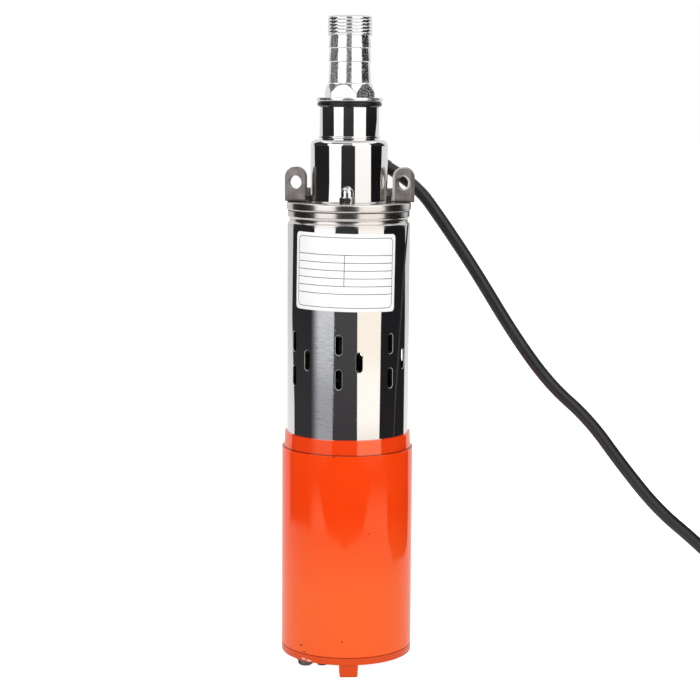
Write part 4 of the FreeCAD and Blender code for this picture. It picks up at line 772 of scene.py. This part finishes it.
class Finish(Nodes):
    """A node material with short calls for what its surface needs."""

    def __init__(self, name):
        self.material = bpy.data.materials.new(name)
        self.material.use_nodes = True
        super().__init__(self.material.node_tree)
        self.shader = self.tree.nodes["Principled BSDF"]
        self.place = self.node("ShaderNodeTexCoord", {}).outputs["Object"]

    def axes(self):
        """The three coordinates of a place on the part, in metres."""
        return self.node("ShaderNodeSeparateXYZ", {0: self.place}).outputs

    def noise(self, scale, detail=3.0, rough=0.5, stretch=None):
        """A noise, on coordinates scaled differently along each axis if a stretch is given."""
        place = self.place
        if stretch:
            place = self.node("ShaderNodeMapping", {"Vector": place, "Scale": stretch}).outputs[0]
        fed = {"Vector": place, "Scale": scale, "Detail": detail, "Roughness": rough}
        return self.node("ShaderNodeTexNoise", fed).outputs["Fac"]

    def ramp(self, value, stops):
        """A value or colour ramp from stops of position and grey or colour."""
        made = self.node("ShaderNodeValToRGB", {"Fac": value})
        parts = made.color_ramp.elements
        while len(parts) < len(stops):
            parts.new(0.5)
        for part, (position, colour) in zip(parts, stops):
            part.position = position
            part.color = (*as_colour(colour), 1.0)
        return made.outputs["Color"]

    def drift(self, low, high, *settings):
        """A value or colour that drifts between two with a noise of the given settings."""
        return self.ramp(self.noise(*settings), [(0.3, low), (0.7, high)])

    def mix(self, share, a, b):
        return self.node("ShaderNodeMix", {0: share, 6: a, 7: b}, data_type="RGBA").outputs[2]

    def layer(self, colour, mask, strength, paint):
        """A colour with a paint laid over it where a mask is 1, at a strength."""
        return self.mix(self.times(mask, strength), colour, paint)

    def within(self, low, high, soft=0.0002):
        """1 between two heights of the part's frame and 0 elsewhere, with soft ends."""
        height = self.axes()["Z"]
        rise = self.share(height, low - soft, low + soft)
        fall = self.share(height, high + soft, high - soft)
        return self.times(rise, fall)

    def spot(self, place, radius, tall):
        """1 within a radius of a point given in millimetres and 0 outside it, for chips and painted
        glints.
        """
        shift = tuple(-value * MM for value in place)
        moved = self.node("ShaderNodeMapping", {"Vector": self.place, "Location": shift})
        fed = {0: moved.outputs[0], 1: (1.0, 1.0, 1.0 / tall)}
        squashed = self.node("ShaderNodeVectorMath", fed, operation="MULTIPLY")
        size = self.node("ShaderNodeVectorMath", {0: squashed.outputs[0]}, operation="LENGTH")
        return self.share(size.outputs["Value"], radius * 1.25 * MM, radius * 0.75 * MM)

    def lug_edge_highlight(self, middle, turn):
        """1 along the front outline of a lug and round its eye, where a highlight is painted, and 0
        elsewhere.
        """
        x, y, foot = (value * MM for value in middle)
        axes = self.axes()
        right = self.maths("SUBTRACT", axes["X"], x)
        back = self.maths("SUBTRACT", axes["Y"], y)
        turned = []
        for a, b in ((math.cos(turn), math.sin(turn)), (-math.sin(turn), math.cos(turn))):
            turned.append(self.maths("ADD", self.times(right, a), self.times(back, b)))
        across, deep = turned
        above = self.maths("SUBTRACT", axes["Z"], foot + LUG_CROWN * MM)
        above = self.maths("MAXIMUM", above, 0.0)
        beside = self.maths("SUBTRACT", axes["Z"], foot + LUG_EYE * MM)
        masks = []
        for rise, start, end in (
            (above, LUG_HALF - 0.65, LUG_HALF - 0.2),
            (beside, LUG_EYE_RADIUS + 0.6, LUG_EYE_RADIUS + 0.15),
        ):
            squares = [self.times(value, value) for value in (across, rise)]
            size = self.maths("SQRT", self.maths("ADD", *squares))
            masks.append(self.share(size, start * MM, end * MM))
        front = -LUG_THICKNESS / 2
        face = self.share(deep, (0.25 + front) * MM, (0.1 + front) * MM)
        return self.times(self.maths("MAXIMUM", *masks), face)

    def bump(self, height, strength, distance):
        fed = {"Strength": strength, "Distance": distance, "Height": height}
        self.feed(self.shader.inputs["Normal"], self.node("ShaderNodeBump", fed).outputs[0])

    def set(self, **values):
        for name, value in values.items():
            self.feed(self.shader.inputs[name.replace("_", " ")], value)

    def show(self, shader):
        """Let another shader's output stand in for the one that the material began with."""
        self.tree.nodes.remove(self.shader)
        self.feed(self.tree.nodes["Material Output"].inputs["Surface"], shader)


def srgb(*colour):
    """A colour given as it is seen, from 0 to 255, as linear light. One number is a grey."""

    def linear(value):
        share = value / 255
        return share / 12.92 if share < 0.04045 else ((share + 0.055) / 1.055) ** 2.4

    return tuple(linear(value) for value in (colour * 3 if len(colour) == 1 else colour))


# Chips in the paint: place in millimetres, radius and height over width
CHIPS = [
    ((-27.2, -29.3, 17.2), 1.3, 0.4),
    ((-25.2, -31.0, 13.6), 1.5, 0.3),
    ((-2.3, -39.9, 22.5), 0.5, 1.0),
    ((13.3, -37.7, 88.3), 0.5, 0.8),
    ((-8.0, -39.2, 134.9), 1.0, 0.3),
]
# Painted glints, pale pinkish spots on the bottom cover's rim: place in millimetres, radius and
# height over width
PAINTED_GLINTS = [((-25.4, -30.6, 9.2), 1.6, 0.35), ((-22.2, -33.0, 8.8), 1.8, 0.3)]
# Painted shade in the gaps at the seams between the motor's painted parts: heights in metres and
# darkness
SEAM_SHADE = [(0.1353, 0.1358, 1.0), (0.0121, 0.0125, 0.6)]


def orange_enamel(name, index, low, high, lift=0.7):
    """Gloss enamel with chips, a little lighter low down as a painted reflection of the floor, and
    with painted shade at its seams and painted glints.
    """
    f = Finish(name)
    colour = f.drift(srgb(*low), srgb(*high), 14, 3, 0.6)
    # Painted reflection of the white floor: the enamel is lighter below 5 cm, fading out by 10 cm
    foot = f.ramp(f.axes()["Z"], [(0.05, 1.0), (0.1, 0.0)])
    colour = f.layer(colour, foot, lift, srgb(255, 104, 40))
    # Painted shade at the seams: a dark brown band at each seam's height
    seam_shade = [f.times(f.within(a, b, 0.0001), dark) for a, b, dark in SEAM_SHADE]
    colour = f.layer(colour, f.maths("MAXIMUM", *seam_shade), 0.85, srgb(96, 22, 4))
    # Dark chips in the paint, then the pale painted glints
    for marks, paint in ((CHIPS, srgb(104, 44, 18)), (PAINTED_GLINTS, srgb(250, 216, 206))):
        for mark in marks:
            colour = f.layer(colour, f.spot(*mark), 0.8, paint)
    f.set(Base_Color=colour, IOR=index, Specular_Tint=(1.0, 0.88, 0.55))
    f.set(Roughness=f.ramp(f.noise(60, 2), [(0.3, 0.06), (0.75, 0.1)]))
    f.bump(f.noise(260, 2, 0.4), 0.2, 0.00005)
    return f.material


def polished_steel(name, rough, grain=0.12, satin=None):
    """Bright steel with fine marks of its turning, and a satin zone between two heights."""
    f = Finish(name)
    streak = f.noise(1.0, 4, 0.65, (40, 40, 2600))
    colour = f.drift(srgb(226, 225, 224), srgb(236, 235, 234), 9, 3)
    level = f.ramp(streak, [(0.35, rough * 0.7), (0.75, rough * 1.6)])
    if satin:
        zone = f.within(*satin, 0.0008)
        colour = f.mix(zone, colour, srgb(225, 221, 218))
        level = f.mix(zone, level, 0.2)
    f.set(Base_Color=colour, Metallic=1.0, Roughness=level)
    f.bump(streak, grain, 0.00002)
    return f.material


# Heights of the fitting's barbs and thread in metres, and one above its top
BARBS_LOW, THREAD_LOW, FITTING_END = 0.3558, 0.3837, 0.4


def fitting_steel(name):
    """Machined steel whose grain breaks up reflections, less so on the right and the thread."""
    f = Finish(name)
    grain = f.noise(1050, 4, 0.7)
    fine = f.ramp(grain, [(0.52, 1.0), (0.62, 0.74)])
    coarse = f.ramp(grain, [(0.44, 1.0), (0.6, 0.62)])
    pale = f.ramp(grain, [(0.42, 0.93), (0.6, 0.66)])
    right = f.ramp(f.times(f.axes()["X"], 100.0), [(0.4, 0.0), (0.8, 1.0)])
    metal = f.mix(f.within(BARBS_LOW, FITTING_END, 0.0003), coarse, f.mix(right, pale, fine))
    metal = f.mix(f.within(THREAD_LOW, FITTING_END, 0.0003), metal, fine)
    f.set(Base_Color=f.drift(srgb(218, 219, 219), srgb(246), 900, 4, 0.7), Metallic=metal)
    f.set(Roughness=f.ramp(grain, [(0.35, 0.05), (0.7, 0.22)]))
    f.bump(grain, 0.4, 0.00004)
    return f.material


# Stripe of the tube with level scratches: its heights in metres, and how strong the scratches
# are across the tube, from 0 at its left side to 1 at its right side
SCRATCHED = (0.152, 0.219)
SCRATCHED_ACROSS = [(0.17, 0.12), (0.24, 1.0), (0.38, 1.0), (0.46, 0.12)]
# Heights of the satin neck under the tube's rim
SATIN_NECK = (0.27, 0.281)


def tube_steel(name):
    """Polished tube with upright drawing lines and short level scratches on its left side."""
    f = Finish(name)
    lines = f.noise(1.0, 3, 0.6, (1100, 1100, 4))
    dashes = f.noise(1.0, 4, 0.7, (230, 230, 1500))
    across = f.times(f.maths("ADD", f.axes()["X"], 0.04), 12.5)
    stripe = f.ramp(across, SCRATCHED_ACROSS)
    stripe = f.times(stripe, f.within(*SCRATCHED, 0.006))
    scratch = f.times(f.ramp(dashes, [(0.52, 0.0), (0.66, 1.0)]), stripe)
    tones = [(0.3, srgb(233)), (0.62, srgb(236, 235, 234)), (0.85, srgb(239, 238, 237))]
    colour = f.layer(f.ramp(lines, tones), scratch, 0.45, srgb(160, 162, 166))
    neck = f.within(*SATIN_NECK, 0.0018)
    colour = f.mix(neck, colour, srgb(221, 216, 213))
    level = f.mix(neck, f.mix(scratch, 0.03, 0.1), 0.19)
    f.set(Base_Color=colour, Metallic=1.0, Roughness=level)
    f.bump(scratch, 0.3, 0.00003)
    return f.material


def turned_steel(name):
    f = Finish(name)
    rings = f.noise(1.0, 3, 0.6, (30, 30, 6000))
    f.set(Base_Color=f.drift(srgb(176, 175, 172), srgb(198, 197, 195), 30), Metallic=1.0)
    f.set(Roughness=f.ramp(rings, [(0.3, 0.16), (0.8, 0.32)]))
    f.bump(rings, 0.25, 0.00004)
    return f.material


# Front outline of a lug: half its width, its thickness, its eye's radius, and the heights over
# the deck of its crown's middle and of its eye
LUG_HALF = 6.25
LUG_THICKNESS = 4.6
LUG_EYE_RADIUS = 4.1
LUG_CROWN = 14.55
LUG_EYE = 11.6


def brushed_plate(name, middle, turn):
    """Brushed steel of a lug with a painted highlight along its edges, given the lug's foot and its
    turn.
    """
    f = Finish(name)
    grain = f.noise(1.0, 5, 0.7, (900, 900, 5200))
    tones = [(0.3, srgb(120, 114, 111)), (0.55, srgb(146, 140, 137)), (0.8, srgb(176, 171, 167))]
    # Painted highlight: a pale, less metallic band along the lug's front outline and round its eye
    rim = f.lug_edge_highlight(middle, math.radians(turn))
    f.set(Base_Color=f.mix(rim, f.ramp(f.noise(160, 4, 0.6), tones), srgb(214, 210, 207)))
    f.set(Metallic=f.mix(rim, 0.85, 0.35))
    f.set(Roughness=f.ramp(grain, [(0.3, 0.36), (0.75, 0.56)]))
    f.bump(grain, 0.35, 0.00008)
    return f.material


def laminations(name):
    f = Finish(name)
    fed = {"Vector": f.place, "Scale": 320.0}
    waves = f.node("ShaderNodeTexWave", fed, wave_type="BANDS", bands_direction="Z")
    sheets = waves.outputs["Fac"]
    f.set(Base_Color=f.ramp(sheets, [(0.2, srgb(52, 52, 56)), (0.8, srgb(110, 110, 116))]))
    f.set(Metallic=0.8, Roughness=f.drift(0.4, 0.6, 400))
    f.bump(sheets, 0.3, 0.00006)
    return f.material


def copper(name):
    f = Finish(name)
    wires = f.noise(1.0, 2, 0.5, (900, 900, 2400))
    f.set(Base_Color=f.ramp(wires, [(0.3, srgb(142, 66, 34)), (0.7, srgb(206, 120, 74))]))
    f.set(Metallic=0.9, Roughness=f.ramp(wires, [(0.3, 0.24), (0.7, 0.42)]))
    f.bump(wires, 0.5, 0.0001)
    return f.material


def mottled(name, tones, tone_noise, rough, rough_noise, grain=None, metal=0.0):
    """A surface whose colour and roughness each drift with a noise, over a fine grain.

    The grain is its noise's settings, its strength and its depth in metres.
    """
    f = Finish(name)
    f.set(Base_Color=f.drift(*(srgb(*tone) for tone in tones), *tone_noise), Metallic=metal)
    f.set(Roughness=f.drift(*rough, *rough_noise))
    if grain:
        settings, strength, depth = grain
        f.bump(f.noise(*settings), strength, depth)
    return f.material


def plain_steel(name, low, high, rough, metal=1.0):
    levels = (rough * 0.8, rough * 1.2)
    return mottled(name, (low, high), (260, 4), levels, (700,), ((1500,), 0.2, 0.00003), metal)


def rubber(name, low, high, rough):
    return mottled(name, (low, high), (70, 4), rough, (240, 3), ((700, 2, 0.5), 0.12, 0.00003))


def matt(name, low, high, scale, rough, depth):
    """A dull solid such as carbon, ceramic, ferrite, fibre or moulding."""
    levels = (rough - 0.08, rough + 0.08)
    grain = ((scale * 6, 4, 0.6), 0.3, depth)
    return mottled(name, (low, high), (scale, 4), levels, (scale * 2,), grain)


def black_steel(name, low, high):
    grain = ((1400,), 0.2, 0.00004)
    return mottled(name, (low, high), (300,), (0.32, 0.5), (900,), grain, 0.6)


def lead_insulation(name, low, high):
    return mottled(name, (low, high), (200, 3), (0.28, 0.4), (500,), ((1200,), 0.2, 0.00004))


def plate_face(name, low, high):
    return mottled(name, (low, high), (40, 3), (0.3, 0.42), (120,), ((700, 3), 0.1, 0.00003))


# Each material: its name, which is that of its slot in the record where it has one, its maker
# and what the maker needs, with colours from 0 to 255
MATERIALS = [
    ("painted_shell", orange_enamel, 1.5, (249, 64, 10), (252, 72, 17)),
    ("painted_ring", orange_enamel, 2.05, (244, 62, 12), (249, 68, 16)),
    # Painted shade: the bottom cover gets darker tones of the same enamel
    ("painted_cover", orange_enamel, 1.45, (208, 52, 9), (216, 58, 12), 0.3),
    ("polished_steel", polished_steel, 0.05),
    ("head_steel", polished_steel, 0.035, 0.06, (0.270, 0.2845)),
    ("tube_steel", tube_steel),
    ("fitting_steel", fitting_steel),
    ("turned_steel", turned_steel),
    ("bearing_steel", turned_steel),
    ("brushed_plate", brushed_plate, (-33.0, -3.0, 283.9), -16.0),
    ("right_plate", brushed_plate, (33.9, -3.0, 283.9), -27.0),
    # Painted shade: dark steel for the tube's inside and its slots' walls
    ("tube_inside", plain_steel, (34, 32, 31), (50, 47, 45), 0.6, 0.7),
    ("slot_edge", plain_steel, (182, 181, 180), (206, 205, 204), 0.5, 0.35),
    # Painted shade: dark steel for the rods, spacers and yoke inside the pump
    ("rod_steel", plain_steel, (66, 64, 62), (92, 89, 86), 0.45, 0.8),
    ("nut_steel", plain_steel, (220, 219, 217), (240, 239, 237), 0.16),
    ("foot_nut_steel", plain_steel, (150, 146, 142), (232, 229, 226), 0.24, 0.7),
    ("plug_steel", plain_steel, (58, 52, 50), (150, 136, 132), 0.1),
    ("black_steel", black_steel, (12, 12, 13), (22, 21, 21)),
    ("o_ring_rubber", rubber, (10, 10, 11), (18, 18, 19), (0.3, 0.4)),
    ("black_rubber", rubber, (24, 24, 25), (38, 37, 38), (0.32, 0.42)),
    ("stator_rubber", rubber, (34, 34, 36), (50, 50, 52), (0.5, 0.65)),
    ("carbon", matt, (38, 38, 40), (60, 60, 63), 300, 0.5, 0.00005),
    ("ceramic", matt, (216, 212, 202), (236, 233, 226), 120, 0.3, 0.00002),
    ("ferrite", matt, (48, 48, 52), (74, 74, 78), 260, 0.55, 0.00008),
    ("holder_plastic", matt, (74, 40, 22), (98, 56, 32), 180, 0.42, 0.00006),
    ("fibre", matt, (60, 62, 58), (88, 90, 84), 500, 0.75, 0.0001),
    ("lamination", laminations),
    ("copper", copper),
    ("red_lead", lead_insulation, (150, 16, 12), (182, 24, 18)),
    ("black_lead", lead_insulation, (24, 24, 25), (38, 38, 40)),
    ("plate_face", plate_face, (250, 250, 251), (254, 254, 255)),
    ("plate_ink", mottled, ((40, 40, 44), (84, 84, 90)), (900, 3), (0.4, 0.5), (300,)),
]
materials = {name: maker(name, *needs) for name, maker, *needs in MATERIALS}


# CAD nodes whose material differs from that of their slot in the record
NODE_MATERIALS = {
    "top_cover": "painted_ring",
    # Painted shade: the bottom cover gets the darker copy of the enamel
    "bottom_cover": "painted_cover",
    "oil_plug": "plug_steel",
    "through_bolts": "black_steel",
    "lug_right": "right_plate",
    "outlet_o_ring": "o_ring_rubber",
    "lug_nuts": "foot_nut_steel",
    # Painted shade: the rods, spacers and yoke inside the pump get dark steel
    "tie_rods": "rod_steel",
    "rod_spacers": "rod_steel",
    "connecting_rod": "rod_steel",
    "drive_yoke": "rod_steel",
}

for part in frame["record"]["subparts"]:
    slot = NODE_MATERIALS.get(part["node"], part["material_slot"])
    dress(nodes[part["node"]], materials[slot])
dress(cable, materials["black_rubber"])
pump_tube()
for make, name in (
    (discharge_head, "head_steel"),
    (outlet_fitting, "fitting_steel"),
    (acorn_nut, "nut_steel"),
    (rating_plate, "plate_face"),
    (plate_lines, "plate_ink"),
):
    dress(make(), materials[name])


# Studio: white surround, panels that only gloss reflects, soft lamps and the floor

# Levels of the surround for light and for gloss, and of the floor's glow for view and for gloss
WORLD_LEVEL = 0.76
GLOSS_LEVEL = 0.84
FLOOR_GLOW = 0.95
FLOOR_GLOSS = 0.24
FLOOR_HALF = 6.0
FLOOR_PAINT = 0.55


def world_light():
    world = bpy.data.worlds.new("studio")
    bpy.context.scene.world = world
    world.use_nodes = True
    n = Nodes(world.node_tree)
    gloss = (GLOSS_LEVEL - WORLD_LEVEL) / (1 - WORLD_LEVEL)
    fed = {"Value": n.seen(gloss), "To Min": WORLD_LEVEL, "To Max": 1.0}
    back = n.tree.nodes["Background"].inputs
    n.feed(back["Color"], 1.0)
    n.feed(back["Strength"], n.node("ShaderNodeMapRange", fed).outputs[0])


def floor():
    mesh = bpy.data.meshes.new("floor")
    corners = [(-1, -1), (1, -1), (1, 1), (-1, 1)]
    places = [(x * FLOOR_HALF, y * FLOOR_HALF, 0) for x, y in corners]
    mesh.from_pydata(places, [], [(0, 1, 2, 3)])
    plane = add_object("floor", mesh)
    f = Finish("floor")
    level = f.times(f.seen(FLOOR_GLOSS / FLOOR_GLOW), FLOOR_GLOW)
    glow = f.node("ShaderNodeEmission", {"Strength": level})
    paint = f.node("ShaderNodeBsdfDiffuse", {"Color": FLOOR_PAINT})
    fed = {0: paint.outputs[0], 1: glow.outputs[0]}
    f.show(f.node("ShaderNodeAddShader", fed).outputs[0])
    dress(plane, f.material)


# Edges between the panels: at some heights in metres, their azimuth in degrees, which is 0 in
# front and positive to the right. Below 0 the panel bends inwards along the floor by that much.
FLAG_START = [
    (0.0, -114), (0.1, -117), (0.17, -127), (0.28, -121), (0.33, -127), (0.4, -132), (0.64, -132),
    (0.9, -132),
]
LEFT_START = [
    (0.0, -67), (0.085, -70), (0.2, -70), (0.24, -64), (0.28, -59), (0.33, -61), (0.4, -68),
    (0.9, -70),
]
LEFT_END = [
    (-0.065, -4), (-0.035, -13), (0.0, -34), (0.025, -44), (0.045, -50), (0.066, -27),
    (0.17, -25), (0.28, -23), (0.34, -23), (0.36, -21), (0.375, -19), (0.9, -19),
]
RIGHT_START = [
    (-0.065, -4), (-0.035, 6), (0.0, 27), (0.025, 36), (0.045, 44), (0.066, 17.5), (0.17, 16.5),
    (0.28, 17.5), (0.34, 16), (0.36, 12), (0.375, 10), (0.9, 10),
]
RIGHT_END = [
    (-0.12, 96), (-0.09, 80), (0.0, 72), (0.045, 71), (0.066, 60), (0.17, 61.5), (0.26, 67),
    (0.33, 65), (0.4, 68), (0.9, 68),
]
FLAG_END = [
    (-0.12, 116), (-0.09, 128), (0.0, 133), (0.06, 130), (0.17, 131), (0.24, 128), (0.28, 108),
    (0.31, 112), (0.33, 131), (0.4, 126), (0.9, 126),
]
PANEL_REACH = 0.42
PANEL_STEPS = 24
PANEL_LIFT = 0.001
PANEL_LEVEL = 1.5
# Each panel: name, its two edges, its lowest height, its colours or greys at some heights, and
# True where it fades in from its left
PANELS = [
    ("left_flag", FLAG_START, LEFT_START, 0.0, [
        (0.1, (0.04, 0.038, 0.04)), (0.17, (0.03, 0.027, 0.03)), (0.3, (0.018, 0.017, 0.017)),
        (0.36, 0.04), (0.385, (0.1, 0.105, 0.11)), (0.394, (0.1, 0.105, 0.11)), (0.4, 0.02),
        (0.66, 0.05), (0.7, 1.3),
    ]),
    ("left_softbox", LEFT_START, LEFT_END, 0.0, [
        (0.016, (1.6, 1.55, 1.3)), (0.036, (0.3, 0.28, 0.24)), (0.05, 0.12),
        (0.075, (0.38, 0.39, 0.42)), (0.113, (0.4, 0.41, 0.44)), (0.135, (0.59, 0.6, 0.63)),
        (0.17, (0.7, 0.71, 0.75)), (0.215, (0.75, 0.75, 0.79)), (0.245, (1.3, 1.28, 1.27)),
        (0.4, 1.5), (0.6, 1.5), (0.64, 0.05),
    ], True),
    ("front_flag", LEFT_END, RIGHT_START, -0.065, [
        (0.08, (0.055, 0.05, 0.055)), (0.17, 0.072), (0.28, (0.028, 0.028, 0.03)), (0.34, 0.045),
        (0.37, (0.15, 0.155, 0.16)), (0.394, (0.16, 0.165, 0.17)), (0.4, 0.03), (0.48, 0.05),
        (0.52, 1.2), (0.56, 1.2), (0.6, 0.06),
    ]),
    ("right_softbox", RIGHT_START, RIGHT_END, 0.0, [
        (0.016, (1.6, 1.5, 1.2)), (0.036, (0.3, 0.28, 0.22)), (0.05, 0.12),
        (0.07, (1.02, 0.94, 0.87)), (0.09, (1.22, 1.17, 1.08)), (0.12, (1.22, 1.17, 1.08)),
        (0.145, (1.16, 1.05, 0.94)), (0.17, (1.16, 1.05, 0.94)), (0.26, (1.16, 1.12, 1.07)),
        (0.36, (1.4, 1.38, 1.37)),
    ]),
    ("right_flag", RIGHT_END, FLAG_END, -0.12, [
        (0.08, (0.02, 0.018, 0.019)), (0.17, (0.016, 0.016, 0.018)), (0.3, 0.008),
        (0.38, (0.03, 0.03, 0.032)), (0.66, 0.03), (0.7, 1.3),
    ]),
]
# A panel that fades in does so over these azimuths and below these heights, from this colour
FADE_AZIMUTHS = (-71.0, -51.0)
FADE_HEIGHTS = (0.2, 0.24)
FADE_COLOUR = (0.03, 0.03, 0.033)


def edge_at(edge, height):
    """Azimuth of an edge at a height."""
    for (low, a), (high, b) in zip(edge, edge[1:]):
        if height <= high:
            return a + (b - a) * (height - low) / (high - low)
    return edge[-1][1]


def panel(name, first, last, lowest, tones, fades=False):
    """A curved sheet round the pump that only reflections show."""
    heights = {height for edge in (first, last) for height, azimuth in edge if height >= lowest}
    rows = []
    for height in sorted(heights):
        start, end = edge_at(first, height), edge_at(last, height)
        reach = PANEL_REACH + min(height, 0.0)
        row = []
        for i in range(PANEL_STEPS + 1):
            angle = math.radians(start + (end - start) * i / PANEL_STEPS)
            x, y = reach * math.sin(angle), -reach * math.cos(angle)
            row.append((x, y, max(height, PANEL_LIFT)))
        rows.append(row)
    places, faces = surface(rows, closed=False)
    mesh = bpy.data.meshes.new(name)
    mesh.from_pydata(places, [], faces)
    sheet = add_object(name, mesh)
    for kind in ("camera", "diffuse", "transmission", "volume_scatter", "shadow"):
        setattr(sheet, f"visible_{kind}", False)
    f = Finish(name)
    axes = f.axes()
    stops = []
    for height, tone in tones:
        stops.append((height, tuple(value / PANEL_LEVEL for value in as_colour(tone))))
    colour = f.ramp(axes["Z"], stops)
    if fades:
        azimuth = f.maths("ARCTAN2", axes["X"], f.times(axes["Y"], -1.0))
        azimuth = f.times(azimuth, 180 / math.pi)
        shares = []
        for value, (start, end) in ((azimuth, FADE_AZIMUTHS), (axes["Z"], FADE_HEIGHTS)):
            shares.append(f.share(value, start, end, interpolation_type="SMOOTHSTEP"))
        colour = f.mix(f.maths("MAXIMUM", *shares), FADE_COLOUR, colour)
    fed = {"Color": colour, "Strength": PANEL_LEVEL}
    f.show(f.node("ShaderNodeEmission", fed).outputs[0])
    dress(sheet, f.material)


# Each lamp: name, place, what it is aimed at, the side of its square, and its power
LAMPS = [
    ("key", (-0.9, -1.1, 1.3), (0.0, 0.0, 0.2), 0.9, 11.5),
    ("fill", (1.1, -1.0, 1.0), (0.0, 0.0, 0.2), 0.9, 9.0),
    ("rim", (0.2, 1.2, 1.2), (0.0, 0.0, 0.25), 0.8, 7.5),
]


def lamp(name, place, target, size, power):
    data = bpy.data.lights.new(name, "AREA")
    data.shape = "SQUARE"
    data.size = size
    data.energy = power
    light = add_object(name, data)
    light.location = place
    aim = Vector(target) - Vector(place)
    light.rotation_euler = aim.to_track_quat("-Z", "Y").to_euler()
    light.visible_glossy = False


world_light()
floor()
for spec in PANELS:
    panel(*spec)
for spec in LAMPS:
    lamp(*spec)

bpy.context.scene.view_settings.view_transform = "Standard"
